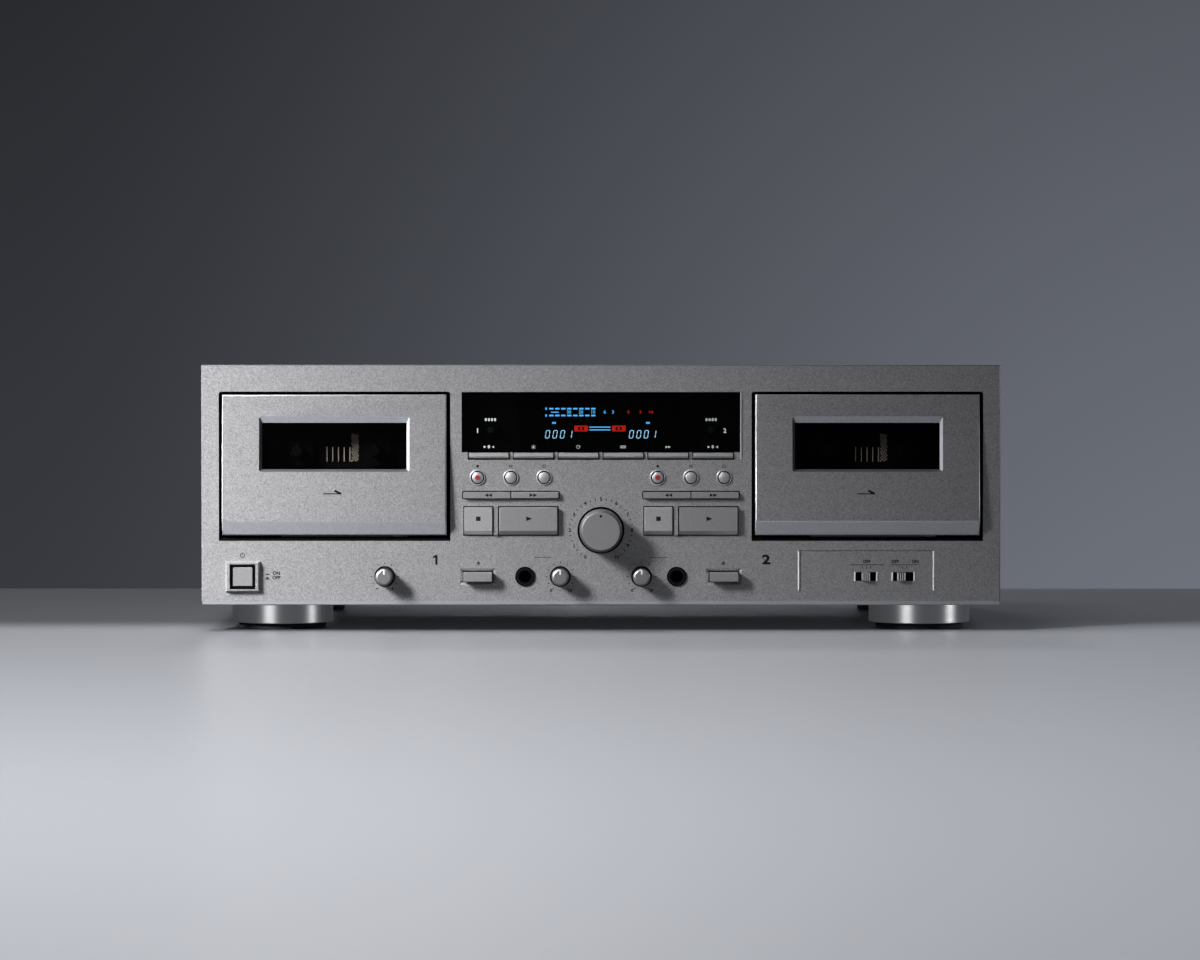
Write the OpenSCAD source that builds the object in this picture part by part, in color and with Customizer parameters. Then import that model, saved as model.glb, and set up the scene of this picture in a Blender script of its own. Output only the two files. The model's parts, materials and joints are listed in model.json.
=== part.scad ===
// Double cassette deck, front-loading, full component width
// Millimetres. X runs to the right, Y to the back, Z up.
// The origin is on the floor below the middle of the deck.

/* [Case] */
// Width over the front panel
case_w = 435; // [428:1:450]
// Height of the front panel
panel_h = 130.5; // [126:0.5:140]
// Depth from the panel face to the rear plate
case_d = 260; // [200:1:320]
// Depth of the rim behind the panel face
rim_d = 16; // [15:0.5:18]
// Thickness of the panel face
face_t = 3; // [2.5:0.1:3.4]
// Thickness of the panel rim
rim_t = 2.5; // [2:0.1:3.5]
// Chamfer along the bottom edge of the panel
lip = 2; // [1:0.1:2.4]
// Fine bevel on the other edges of the panel
edge = 0.6; // [0.3:0.1:1]
// Sheet steel of the cover, tray and rear plate
sheet_t = 1; // [0.8:0.1:1.5]
// Length of cover that tucks inside the panel rim
tuck = 4; // [2:0.5:8]
// Height of the folded edges of the tray
flange_h = 24; // [22:0.5:28]

/* [Feet] */
// Height from the floor to the panel
foot_h = 14.5; // [11:0.5:20]
// Diameter of a foot ring
foot_dia = 55.5; // [45:0.5:60]
// Foot centre from the end of the panel
foot_side = 41.5; // [38:0.5:60]
// Foot centre behind the panel face and ahead of the rear plate
foot_in = 40; // [38:1:60]
// Dark groove between a foot ring and the tray
foot_groove = 0.8; // [0.5:0.1:1.5]
// Rubber showing below a foot ring
pad_show = 3.3; // [2:0.1:5]
// Depth of the seat of the rubber pad
pad_seat = 2.5; // [1.5:0.1:4]
// Width of the foot ring round its pad
pad_wall = 3.6; // [2.5:0.1:6]

/* [Cassette doors] */
// Panel beside a door well at each end
side_w = 9.5; // [8:0.1:12]
// Width of a door
door_w = 122; // [118:0.5:124]
// Height of a door
door_h = 76.5; // [74:0.5:78]
// Door above the bottom of the panel
door_z = 37.9; // [37:0.1:40]
// Gap at the sides of a door
door_side_gap = 2; // [1:0.1:2.5]
// Gap above a door
door_top_gap = 1.6; // [1.4:0.1:3]
// Gap below a door
door_low_gap = 3.2; // [3:0.1:4.5]
// Door proud of the panel at its top and bottom edges
door_out = 1; // [0.5:0.1:2]
// Door proud of the panel at the knee
knee_out = 5.5; // [4:0.1:6]
// Height of the slanted band below the knee
knee_h = 7.6; // [6:0.1:10]
// Wall of a door
door_t = 2.2; // [1.8:0.1:2.4]
// Back edge of a door behind the panel face
door_back = 2.2; // [2:0.1:2.4]
// Width of the window over its bevel
win_w = 81.8; // [70:0.2:86]
// Height of the window over its bevel
win_h = 30.2; // [24:0.2:36]
// Window above the knee
win_z = 27; // [22:0.2:30]
// Bevel of the window at the sides
win_side = 1.6; // [0.8:0.1:2.5]
// Bevel of the window at the top
win_top = 3.4; // [1:0.1:4]
// Bevel of the window at the bottom
win_low = 1.5; // [0.8:0.1:3]
// Corner radius of the window opening
win_r = 1.4; // [0.8:0.1:1.8]
// Thickness of the clear pane
pane_t = 1.2; // [0.8:0.1:1.4]
// Border of the pane behind the door
pane_lap = 3; // [1.5:0.1:4]
// Corner radius of a door well
well_r = 1.4; // [0.5:0.1:3]
// Slant along the bottom of a door well
well_bevel = 2; // [0.5:0.1:2]
// Depth of a door well
well_d = 21; // [20.5:0.5:24]
// Wall of a door well
well_t = 2; // [1.5:0.1:2.4]
// Hinge pin behind the panel face
hinge_in = 4.5; // [4.4:0.1:5]
// Hinge pin above the bottom of the door
hinge_up = 3.1; // [3:0.1:4]
// Radius of a hinge pin
hinge_r = 1.2; // [1:0.1:1.4]

/* [Cassette holders] */
// Width of the cassette pocket
pocket_w = 102; // [101:0.5:104]
// Depth of the cassette pocket
pocket_d = 12; // [11.8:0.1:12.6]
// Height of the cassette pocket
pocket_h = 64; // [60:0.5:64.5]
// Bottom of the pocket above the bottom of the door
pocket_z = 10.6; // [10:0.1:11]
// Sheet of the holder
holder_t = 1.2; // [1:0.1:1.4]
// Width of the lips behind the cassette
holder_lip = 5; // [3:0.5:7]
// Length of the shelves below the cassette corners
shelf_w = 11; // [8:0.5:11.5]

/* [Display and its keys] */
// Width of the display opening
disp_w = 151.6; // [140:0.2:153]
// Height of the display opening above its keys
disp_h = 32.8; // [28:0.2:34]
// Display opening above the bottom of the panel
disp_z = 83; // [82:0.2:84]
// Glass behind the panel face
disp_in = 0.8; // [0.4:0.1:1.4]
// Thickness of the flange of the glass
disp_flange = 1.5; // [1:0.1:1.8]
// Number of keys below the display
fkey_n = 6; // [4:1:6]
// Pitch of the keys below the display
fkey_pitch = 24.43; // [22:0.01:25]
// Height of the keys below the display
fkey_h = 2.9; // [2.4:0.1:3.2]
// Posts between the keys below the display
fkey_post = 2.3; // [1.5:0.1:3]
// Keys below the display proud of the panel
fkey_out = 1.8; // [1:0.1:2.5]
// Radius of the small keys in the display glass
pip_r = 1.5; // [1:0.1:2]
// Small keys in the glass from the middle
pip_x = 60; // [56:0.5:66]
// Small keys in the glass above the bottom of the panel
pip_z = 95.2; // [92:0.1:100]

/* [Keys] */
// Key blocks to the left and right of the middle
keys_x = 49; // [47:0.5:49.5]
// Radius of a round key
round_r = 3; // [2.6:0.1:3.4]
// Pitch of the round keys
round_pitch = 18.1; // [14:0.1:19]
// Round keys above the bottom of the panel
round_z = 69.25; // [68:0.05:71]
// Round keys proud of the panel
round_out = 1.8; // [1:0.1:3]
// Radius of the raised rim of a round key
round_rim_r = 4.4; // [4.3:0.1:5]
// Height of the raised rim of a round key
round_rim_out = 0.7; // [0.4:0.1:1]
// Width of a pair of winding keys
wind_w = 52; // [46:0.5:54]
// Height of the winding keys
wind_h = 3.4; // [3:0.1:4]
// Winding keys above the bottom of the panel
wind_z = 58; // [57:0.1:60]
// Winding keys proud of the panel
wind_out = 2.5; // [1.5:0.1:3.5]
// Height of the stop and play keys
play_h = 14.9; // [13:0.1:16]
// Stop and play keys above the bottom of the panel
play_z = 38.2; // [36:0.1:40]
// Width of a stop key
stop_w = 15.2; // [12:0.1:16]
// Width of a play key
play_w = 31.6; // [28:0.1:32]
// Strip of panel between stop and play
play_strip = 2.6; // [2:0.1:4]
// Ridge between stop and play proud of the panel
play_ridge = 2.2; // [1:0.1:2.4]
// Stop and play keys proud of the panel
play_out = 3.3; // [2.5:0.1:4]
// Chamfer along the bottom of stop and play
play_lip = 2; // [1:0.1:2.4]
// Travel of the keys on the panel
key_travel = 0.8; // [0.5:0.1:1]
// Width of an eject key
eject_w = 15.4; // [12:0.1:18]
// Height of an eject key
eject_h = 4.9; // [4:0.1:6]
// Eject keys to the left and right of the middle
eject_x = 67; // [66:0.5:68]
// Eject keys proud of the panel
eject_out = 6.5; // [4:0.1:8]
// Chamfered recess round an eject key
eject_rim = 1.4; // [0.8:0.1:1.8]
// Travel of the eject and power keys
push_travel = 2.5; // [1.5:0.1:3]
// Power key from the end of the panel
power_in = 22.5; // [20:0.5:28]
// Width of the power key
power_w = 10.6; // [8:0.1:11]
// Height of the power key
power_h = 10.2; // [8:0.1:11]
// Width of the frame of the power key
power_frame_w = 19; // [18:0.1:21]
// Height of the frame of the power key
power_frame_h = 17; // [16:0.1:20]
// Frame of the power key proud of the panel
power_frame_out = 3; // [2:0.1:4]
// Power key proud of the panel
power_out = 1.6; // [0.5:0.1:2.5]
// Dark gap round the power key
power_gap = 1.7; // [0.5:0.1:2]

/* [Knobs] */
// Radius of the recording level knob
rec_r = 11.7; // [10:0.1:13]
// Recording level knob above the bottom of the panel
rec_z = 40.5; // [39:0.1:42]
// Recording level knob proud of the panel
rec_out = 17; // [14:0.5:22]
// Dark ring round the recording level knob
rec_ring = 1.1; // [0.4:0.1:1.4]
// Depth of the recess of the recording level knob
rec_recess = 2; // [1.5:0.1:2.2]
// Radius of a small knob
knob_r = 4.9; // [4:0.1:5.5]
// Small knobs proud of the panel
knob_out = 12; // [8:0.5:14]
// Dark ring round a small knob
knob_ring = 0.8; // [0.4:0.1:1]
// Height of the lower row above the bottom of the panel
row_z = 15.3; // [14:0.1:16]
// Level knobs to the left and right of the middle
level_x = 22.1; // [18:0.1:26]
// Pitch knob from the middle of its deck
pitch_in = 27.3; // [20:0.1:35]

/* [Sockets] */
// Jacks to the left and right of the middle
jack_x = 41.3; // [38:0.1:46]
// Radius of the bore of a jack
jack_r = 3.2; // [3.1:0.05:3.3]
// Radius of the collar of a jack
jack_collar_r = 5.3; // [5:0.1:6]
// Collar of a jack proud of the panel
jack_out = 0.8; // [0.4:0.1:2]
// Depth of the bore of a jack
jack_d = 20; // [18:0.5:26]
// Phono sockets behind the rear plate
phono_out = 9; // [8:0.5:11]
// Outer radius of a phono socket
phono_r = 4.15; // [4:0.05:4.25]
// Inner radius of a phono socket
phono_bore = 1.65; // [1.6:0.05:1.7]
// Pitch of the phono sockets
phono_pitch = 18; // [16:0.5:22]
// Radius of the cord hole in its grommet
cord_r = 3.5; // [3:0.1:4]

/* [Slide switches] */
// Plate of the switches from the middle of its deck
plate_dx = -0.5; // [-2:0.5:2]
// Width of the inset plate
plate_w = 74.4; // [64:0.2:76]
// Height of the inset plate
plate_h = 22.3; // [20:0.1:24]
// Inset plate above the bottom of the panel
plate_z = 7.3; // [6:0.1:8]
// Depth of the inset plate
plate_in = 0.5; // [0.3:0.1:0.8]
// Timer switch from the middle of its deck
timer_dx = -0.7; // [-4:0.1:3]
// Noise switch from the middle of its deck
noise_dx = 19.7; // [16:0.1:23]
// Width of a switch slot
slot_w = 11.2; // [10:0.1:13]
// Height of a switch slot
slot_h = 4.9; // [4.4:0.1:5.4]
// Width of a switch cap
cap_w = 4.3; // [3.6:0.1:4.8]
// Switch cap proud of the panel
cap_out = 2.2; // [1:0.1:3]
// Step between two switch positions
cap_step = 2.15; // [1.5:0.05:2.5]

/* [Tape transport] */
// Reel spindles from the middle of a deck
hub_x = 21.25; // [21:0.05:21.5]
// Reel spindles above the bottom of the pocket
hub_z = 35; // [34:0.1:36]
// Radius of a reel spindle
hub_r = 4; // [3.5:0.1:4.4]
// Radius of the disc of a reel spindle
reel_r = 8.5; // [7:0.5:8.5]
// Radius of the shaft of a reel spindle
reel_shaft = 1.5; // [1:0.1:2]
// Capstan from the middle of a deck
capstan_x = 34; // [33:0.5:34]
// Capstan above the bottom of the pocket
capstan_z = 5.5; // [5:0.1:6]
// Radius of a capstan
capstan_r = 1.25; // [1:0.05:1.5]
// Radius of a flywheel
flywheel_r = 22; // [18:0.5:23]
// Radius of a pinch roller
roller_r = 5; // [4.5:0.1:5.2]
// Lift of a head carriage
head_lift = 6; // [4:0.1:6]
// Thickness of a transport plate
frame_t = 2; // [1.5:0.1:2.5]
// Radius of a motor
motor_r = 17; // [14:0.5:18]
// Length of a motor
motor_l = 22; // [18:0.5:30]
// Radius of a motor pulley
pulley_r = 5; // [4:0.1:6]

/* [Fits] */
// Gap round keys and caps
gap = 0.3; // [0.25:0.05:0.4]
// Dark gap round the keys in the panel
key_gap = 0.65; // [0.4:0.05:0.8]
// Gap round a turning shaft
turn_gap = 0.05; // [0.03:0.01:0.1]
// Gap round a fixed insert
seat_gap = 0.1; // [0.05:0.01:0.2]

/* [Hidden] */
$fn = 64;
over = 1;

// Places of the main planes
total_d = rec_out + case_d + phono_out;
y0 = -total_d / 2 + rec_out;
y1 = y0 + case_d;
z0 = foot_h;
zt = z0 + panel_h;
cover_x = case_w / 2 - rim_t;
cover_z = zt - rim_t;
tray_x = cover_x - sheet_t;
rim_y = y0 + rim_d;
face_y = y0 + face_t;
row = z0 + row_z;

// Doors and wells
door_lo = z0 + door_z;
door_hi = door_lo + door_h;
knee_z = door_lo + knee_h;
well_x = door_w / 2 + door_side_gap;
well_lo = door_lo - door_low_gap;
well_hi = door_hi + door_top_gap;
well_y = y0 + well_d;
slope = atan((knee_out - door_out) / (door_h - knee_h));
hinge_y = y0 + hinge_in;
hinge_z = door_lo + hinge_up;
pane_w = win_w - 2 * win_side;
deck_x = case_w / 2 - side_w - well_x;

// Display and keys, laid out for a full width between the wells and drawn in with it
mid_full = 164;
mid_k = 2 * (deck_x - well_x) / mid_full;
disp_wide = mid_k * disp_w;
fkey_step = mid_k * fkey_pitch;
pip_mid = mid_k * pip_x;
keys_mid = mid_k * keys_x;
round_step = mid_k * round_pitch;
wind_wide = mid_k * wind_w;
stop_wide = mid_k * stop_w;
play_wide = mid_k * play_w;

// Places along the lower row
power_x = case_w / 2 - power_in;
pitch_x = deck_x - pitch_in;
plate_x = deck_x + plate_dx;
timer_x = deck_x + timer_dx;
noise_x = deck_x + noise_dx;

// Cassette pocket
holder_y = y0 + door_back;
pocket_y = holder_y + holder_t;
pocket_back = pocket_y + pocket_d;
pocket_lo = door_lo + pocket_z;
pocket_hi = pocket_lo + pocket_h;
cheek_x = pocket_w / 2 + holder_t;
arm_wall = 0.8;
arm_x = door_w / 2 - door_t - arm_wall;

// Front board with its key switches
board_t = 1.6;
board_in = 12;
board_y = y0 + board_in;
switch_d = 3.5;
switch_w = 6;
stem_r = 1.6;
stem_y = board_y - switch_d - key_travel - seat_gap;
board_x = deck_x - well_x - well_t - over;

// Transport planes
frame_back = well_y + frame_t;
carriage_t = 2;
carriage_y = well_y - 1.5 - carriage_t;
reel_t = 2;
reel_y = well_y - 2 - reel_t;
fly_y = frame_back + 4;
fly_t = 8;
bracket_y = fly_y + fly_t + 3;
bracket_t = 1.5;
hub_h = pocket_lo + hub_z;
capstan_h = pocket_lo + capstan_z;
roller_h = capstan_h - capstan_r - roller_r - head_lift - gap;
motor_x = -30;
motor_h = capstan_h + 6.5;
hub_tip = pocket_y + 3.6;
head_tip = pocket_y + 4;
guide_r = 1.5;
guide_x = [-20, 22];

// Keys
fkey_lo = z0 + disp_z - gap - fkey_h;
fkey_w = fkey_step - fkey_post - 2 * gap;
stop_x = -keys_span() / 2;
play_x = stop_x + stop_wide + 2 * gap + play_strip + 2 * gap;
function keys_span() = stop_wide + play_strip + play_wide + 4 * gap;
function side(deck) = deck == 1 ? -1 : 1;
function deck_at(deck) = side(deck) * deck_x;
function keys_at(deck) = side(deck) * keys_mid;
function fkey_at(i) = (i - (fkey_n - 1) / 2) * fkey_step;

// Rear sockets
phono_in = 64;
phono_up = 40;
phono_x = phono_in - tray_x;
phono_z = z0 + phono_up;
cord_in = 44;
cord_up = 22;
cord_x = tray_x - cord_in;
cord_z = z0 + cord_up;
grommet_r = cord_r + 3;
grommet_out = 4;

// Fasteners
screw_r = 1.5;
screw_head_r = 3.2;
screw_head_h = 1.8;
screw_len = 6;
side_screw_z = z0 + flange_h - 8;
side_screw_in = 60;
side_screw_y = [y0 + side_screw_in, y1 - side_screw_in];
rear_screw_z = cover_z - 8;
rear_screw_in = 24;
rear_screw_x = [rear_screw_in - tray_x, 0, tray_x - rear_screw_in];

// Panel details
cap_back = face_y + over;
wind_r = 0.5;
dome_r = 9;
pip_out = 0.5;
power_stem = 2;
power_body = 14;
power_body_d = 20;
rec_boss_r = 6;
rec_boss = 2.5;
rec_shaft = 3;
rec_draft = 0.35;
knob_shaft = 2;
knob_draft = 0.2;
knob_clear = 0.5;

// Case details
foot_x = case_w / 2 - foot_side;
cover_lo = z0 + rim_t + gap;
cover_lap = 14;
vent_n = 8;
vent_x = 90;
vent_w = 110;
vent_h = 3;
vent_pitch = 9;
vent_in = 40;
foot_ys = [y0 + foot_in, y1 - foot_in];

// Display details
disp_lap = 2.5;
tube_full = 90;
tube_w = mid_k * tube_full;
tube_gap = 0.5;
tube_edge = 4;

// Socket details
jack_body = 12;
jack_back = 1.5;
phono_back = 8;
phono_lip = 1.5;
phono_places = [for (i = [0, 1], j = [0, 1]) [phono_x + i * phono_pitch, phono_z + j * phono_pitch]];
grommet_lip = 1.5;
grommet_back = y1 - sheet_t - grommet_lip;

// Holder and transport details
shelf_t = 2;
fin_t = 1.2;
pin_r = 1;
head_w = 14;
head_up = 2.5;
carriage_lo = well_lo + 1.3;
carriage_h = 9.5;
guide_h = carriage_lo + carriage_h / 2;
leg_x = 35;
leg_w = 12;
bush_r = 4;
post_r = 2.5;
bracket_x = 55;
bracket_lo = well_lo - well_t;
bracket_hi = capstan_h + flywheel_r + post_r;
motor_shaft = 1;
belt_t = 1;

// Ribs and strip seen through the door window
rib_x = 1;
rib_pitch = 3.13;
rib_w = 0.9;
rib_low = 6;
rib_high = 2;
strip_x = 8;
strip_w = 4.3;
strip_high = 9.5;

// Board details
control_d = 6;
rec_control = 17;
knob_control = 10;
spacer_z = 20;
spacer_r = 2.5;
spacer_in = 19;
spacer_x = 10;
spacer_xs = [spacer_in - board_x, -spacer_x, spacer_x, board_x - spacer_in];
board_low = 4;
small_w = 24;
small_h = 23;
main_left = 90;
main_right = 24;
main_front = 80;
main_rear = 30;
main_x = [-main_left, tray_x - main_right];
main_y = [y0 + main_front, y1 - main_rear];
main_up = 8;
main_edge = 8;
main_step = 24;
can_r = 6;
can_tall = 20;
sink_t = 3;
sink_tall = 30;
trafo_in = 19;
trafo_w = 75;
trafo_front = 120;
trafo_d = 40;
trafo_x = [trafo_in - tray_x, trafo_in - tray_x + trafo_w];
trafo_y = [y0 + trafo_front, y0 + trafo_front + trafo_d];
trafo_h = 55;
trafo_limb = 10;

// Block between two values on each axis
module block(x, y, z) {
  translate([x[0], y[0], z[0]])
    cube([x[1] - x[0], y[1] - y[0], z[1] - z[0]]);
}

// Block centred on x and z
module bar(x, z, w, h, y) {
  block([x - w / 2, x + w / 2], y, [z - h / 2, z + h / 2]);
}

// Round rod along Y
module rod(x, z, r, y) {
  translate([x, y[0], z]) rotate([-90, 0, 0]) cylinder(r = r, h = y[1] - y[0]);
}

// Flat shape in X and Z, extruded along Y
module along_y(y) {
  translate([0, y[1], 0]) rotate([90, 0, 0]) linear_extrude(y[1] - y[0]) children();
}

// Flat shape in Y and Z, extruded along X
module along_x(x) {
  translate([x[0], 0, 0]) rotate([90, 0, 90]) linear_extrude(x[1] - x[0]) children();
}

// Flat shape in X and Y, extruded along Z
module along_z(z) {
  translate([0, 0, z[0]]) linear_extrude(z[1] - z[0]) children();
}

// Rectangle with round corners
module round_rect(x, z, r) {
  translate([x[0] + r, z[0]]) square([x[1] - x[0] - 2 * r, z[1] - z[0]]);
  translate([x[0], z[0] + r]) square([x[1] - x[0], z[1] - z[0] - 2 * r]);
  for (cx = [x[0] + r, x[1] - r], cz = [z[0] + r, z[1] - r])
    translate([cx, cz]) circle(r = r);
}

// Four-sided taper along Y, w by h at y[0] and smaller by the draft at y[1]
module taper(x, z, w, h, y, draft) {
  intersection() {
    along_z([z - h, z + h])
      polygon([[x - w / 2, y[0]], [x + w / 2, y[0]],
        [x + w / 2 - draft, y[1]], [x - w / 2 + draft, y[1]]]);
    along_x([x - w, x + w])
      polygon([[y[0], z - h / 2], [y[0], z + h / 2],
        [y[1], z + h / 2 - draft], [y[1], z - h / 2 + draft]]);
  }
}

// Round rod along X
module rod_x(y, z, r, x) {
  translate([x[0], y, z]) rotate([0, 90, 0]) cylinder(r = r, h = x[1] - x[0]);
}

// Round rod along Z
module rod_z(x, y, r, z) {
  translate([x, y, z[0]]) cylinder(r = r, h = z[1] - z[0]);
}

// Opening w by h with flanks at 45 degrees, cut into the panel face at height y
module sunk(x, z, w, h, y, depth) {
  grow = depth + over;
  taper(x, z, w + 2 * grow, h + 2 * grow, [y - over, y + depth], grow);
}

// Children at the middle of a deck
module at_deck(deck) {
  translate([deck_at(deck), 0, 0]) children();
}

// Plain moulding of the panel with its rim, lip and fine bevels
module panel_shell() {
  half = case_w / 2;
  difference() {
    intersection() {
      along_x([-half, half])
        polygon([[y0, z0 + lip], [y0, zt - edge], [y0 + edge, zt],
          [rim_y, zt], [rim_y, z0], [y0 + lip, z0]]);
      along_z([z0, zt])
        polygon([[-half, rim_y], [half, rim_y], [half, y0 + edge],
          [half - edge, y0], [edge - half, y0], [-half, y0 + edge]]);
    }
    block([-cover_x, cover_x], [face_y, rim_y + over], [z0 + rim_t, cover_z]);
  }
}

// Raised rim round a round key
module round_rim(x) {
  translate([x, y0, z0 + round_z]) rotate([90, 0, 0])
    cylinder(r1 = round_rim_r, r2 = round_r + key_gap + gap, h = round_rim_out);
}

// Raised ridge between a stop key and a play key
module key_ridge(x) {
  in = key_gap + gap / 2;
  block([x + stop_x + stop_wide + in, x + play_x - in], [y0 - play_ridge, y0 + over],
    [z0 + play_z, z0 + play_z + play_h]);
}

// Openings of one block of keys
module key_openings(deck) {
  x = keys_at(deck);
  through = [y0 - over, face_y + over];
  for (i = [-1:1])
    rod(x + i * round_step, z0 + round_z, round_r + key_gap, through);
  along_y(through)
    round_rect([x - wind_wide / 2 - key_gap, x + wind_wide / 2 + key_gap],
      [z0 + wind_z - key_gap, z0 + wind_z + wind_h + key_gap], wind_r + key_gap);
  for (key = [[stop_x, stop_wide], [play_x, play_wide]])
    block([x + key[0] - key_gap, x + key[0] + key[1] + key_gap], through,
      [z0 + play_z - key_gap, z0 + play_z + play_h + key_gap]);
}

// Openings of the display and the keys below it
module display_openings() {
  through = [y0 - over, face_y + over];
  block([-disp_wide / 2, disp_wide / 2], through, [z0 + disp_z, z0 + disp_z + disp_h]);
  for (i = [0:fkey_n - 1])
    block([fkey_at(i) - fkey_w / 2 - key_gap, fkey_at(i) + fkey_w / 2 + key_gap], through,
      [fkey_lo - key_gap - gap, z0 + disp_z + over]);
}

// Opening of a door well in the panel face, with a slant along its bottom
module well_opening() {
  along_y([y0 - over, face_y + over])
    round_rect([-well_x, well_x], [well_lo + well_bevel, well_hi], well_r);
  along_x([-well_x, well_x])
    polygon([[y0 - over, well_lo], [y0, well_lo], [face_y, well_lo + well_bevel],
      [face_y, well_lo + well_bevel + well_r], [y0 - over, well_lo + well_bevel + well_r]]);
}

// Front panel
module front_panel() {
  through = [y0 - over - power_frame_out, face_y + over];
  color("silver") difference() {
    union() {
      panel_shell();
      for (deck = [1, 2], i = [-1:1])
        round_rim(keys_at(deck) + i * round_step);
      for (deck = [1, 2])
        key_ridge(keys_at(deck));
      taper(-power_x, row, power_frame_w, power_frame_h, [y0, y0 - power_frame_out], over);
      rod(0, z0 + rec_z, rec_boss_r, [face_y, face_y + rec_boss]);
    }
    for (deck = [1, 2]) {
      at_deck(deck) well_opening();
      key_openings(deck);
      bar(side(deck) * eject_x, row, eject_w + 2 * key_gap, eject_h + 2 * key_gap, through);
      sunk(side(deck) * eject_x, row, eject_w + 2 * key_gap, eject_h + 2 * key_gap, y0, eject_rim);
    }
    display_openings();
    bar(-power_x, row, power_w + 2 * power_gap, power_h + 2 * power_gap, through);
    rod(0, z0 + rec_z, rec_r + rec_ring, [y0 - over, y0 + rec_recess]);
    rod(0, z0 + rec_z, rec_shaft + turn_gap, [y0, face_y + rec_boss + over]);
    for (x = [-level_x, level_x, -pitch_x])
      rod(x, row, knob_r + knob_ring, through);
    for (s = [-1, 1])
      rod(s * jack_x, row, jack_collar_r + seat_gap, through);
    block([plate_x - plate_w / 2, plate_x + plate_w / 2], [y0 - over, y0 + plate_in],
      [z0 + plate_z, z0 + plate_z + plate_h]);
    for (x = [timer_x, noise_x])
      bar(x, row, slot_w, slot_h, through);
  }
}

// Two dark frames behind the panel that carry the doors
module deck_wells() {
  color([0.08, 0.08, 0.09]) for (deck = [1, 2]) at_deck(deck) difference() {
    block([-well_x - well_t, well_x + well_t], [face_y, well_y], [well_lo - well_t, well_hi + well_t]);
    along_y([face_y - over, well_y + over])
      round_rect([-well_x, well_x], [well_lo, well_hi], well_r);
    for (s = [-1, 1])
      rod_x(hinge_y, hinge_z, hinge_r + turn_gap, s > 0 ? [well_x - over, well_x + well_t + over]
        : [-well_x - well_t - over, over - well_x]);
  }
}

// Folded steel cover with its vents
module top_cover() {
  color([0.13, 0.13, 0.14]) difference() {
    union() {
      block([-cover_x, cover_x], [rim_y - tuck, y1], [cover_z - sheet_t, cover_z]);
      for (s = [-1, 1])
        block(s > 0 ? [tray_x, cover_x] : [-cover_x, -tray_x], [rim_y - tuck, y1], [cover_lo, cover_z]);
      block([-tray_x, tray_x], [y1 - 2 * sheet_t, y1 - sheet_t], [cover_z - cover_lap, cover_z]);
    }
    for (s = [-1, 1], i = [0:vent_n - 1])
      block([s * vent_x - vent_w / 2, s * vent_x + vent_w / 2],
        [y1 - vent_in - i * vent_pitch, y1 - vent_in - i * vent_pitch + vent_h],
        [cover_z - sheet_t - over, cover_z + over]);
    side_screw_holes();
    rear_screw_holes();
  }
}

// Clearance holes of the screws at the sides
module side_screw_holes() {
  for (y = side_screw_y)
    rod_x(y, side_screw_z, screw_r + seat_gap, [-case_w, case_w]);
}

// Clearance holes of the screws at the back
module rear_screw_holes() {
  for (x = rear_screw_x)
    rod(x, rear_screw_z, screw_r + seat_gap, [y1 - screw_len - over, y1 + over]);
}

// Steel tray with folded edges
module chassis() {
  color([0.7, 0.71, 0.72]) difference() {
    union() {
      block([-tray_x, tray_x], [rim_y, y1], [z0, z0 + sheet_t]);
      block([-tray_x, tray_x], [rim_y, rim_y + sheet_t], [z0, z0 + flange_h]);
      for (s = [-1, 1])
        block(s > 0 ? [tray_x - sheet_t, tray_x] : [-tray_x, sheet_t - tray_x],
          [rim_y, y1 - 2 * sheet_t], [z0, z0 + flange_h]);
    }
    side_screw_holes();
    for (x = [-foot_x, foot_x], y = foot_ys)
      rod_z(x, y, screw_r + seat_gap, [z0 - over, z0 + sheet_t + over]);
    for (s = [-1, 1])
      bar(s * jack_x, row, jack_body + 2 * gap, jack_body + 2 * gap, [rim_y - over, rim_y + 2 * sheet_t]);
    rod(-power_x, row, power_stem + gap, [rim_y - over, rim_y + 2 * sheet_t]);
  }
}

// Rear plate with its cord grommet
module rear_panel() {
  color([0.16, 0.16, 0.17]) difference() {
    block([-tray_x, tray_x], [y1 - sheet_t, y1], [z0 + sheet_t, cover_z - sheet_t]);
    for (p = phono_places)
      rod(p[0], p[1], phono_r + seat_gap, [y1 - sheet_t - over, y1 + over]);
    rod(cord_x, cord_z, grommet_r, [y1 - sheet_t - over, y1 + over]);
    rear_screw_holes();
  }
  color([0.05, 0.05, 0.05]) difference() {
    union() {
      rod(cord_x, cord_z, grommet_r - seat_gap, [grommet_back, y1 + grommet_out]);
      rod(cord_x, cord_z, grommet_r + grommet_lip, [y1 + seat_gap, y1 + grommet_lip]);
      rod(cord_x, cord_z, grommet_r + grommet_lip, [grommet_back, y1 - sheet_t - seat_gap]);
    }
    rod(cord_x, cord_z, cord_r, [grommet_back - over, y1 + grommet_out + over]);
  }
}

// Four turned foot rings
module feet() {
  color([0.78, 0.77, 0.75]) for (x = [-foot_x, foot_x], y = foot_ys) difference() {
    union() {
      rod_z(x, y, foot_dia / 2, [pad_show, z0 - foot_groove]);
      rod_z(x, y, foot_dia / 2 - 2 * pad_wall, [z0 - foot_groove - over, z0]);
    }
    rod_z(x, y, foot_dia / 2 - pad_wall, [pad_show - over, pad_show + pad_seat]);
    rod_z(x, y, screw_r + seat_gap, [z0 - screw_len, z0 + over]);
  }
}

// Four rubber pads seated in the foot rings
module foot_pads() {
  color([0.05, 0.05, 0.05]) for (x = [-foot_x, foot_x], y = foot_ys)
    rod_z(x, y, foot_dia / 2 - pad_wall - seat_gap, [0, pad_show + pad_seat]);
}

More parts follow.
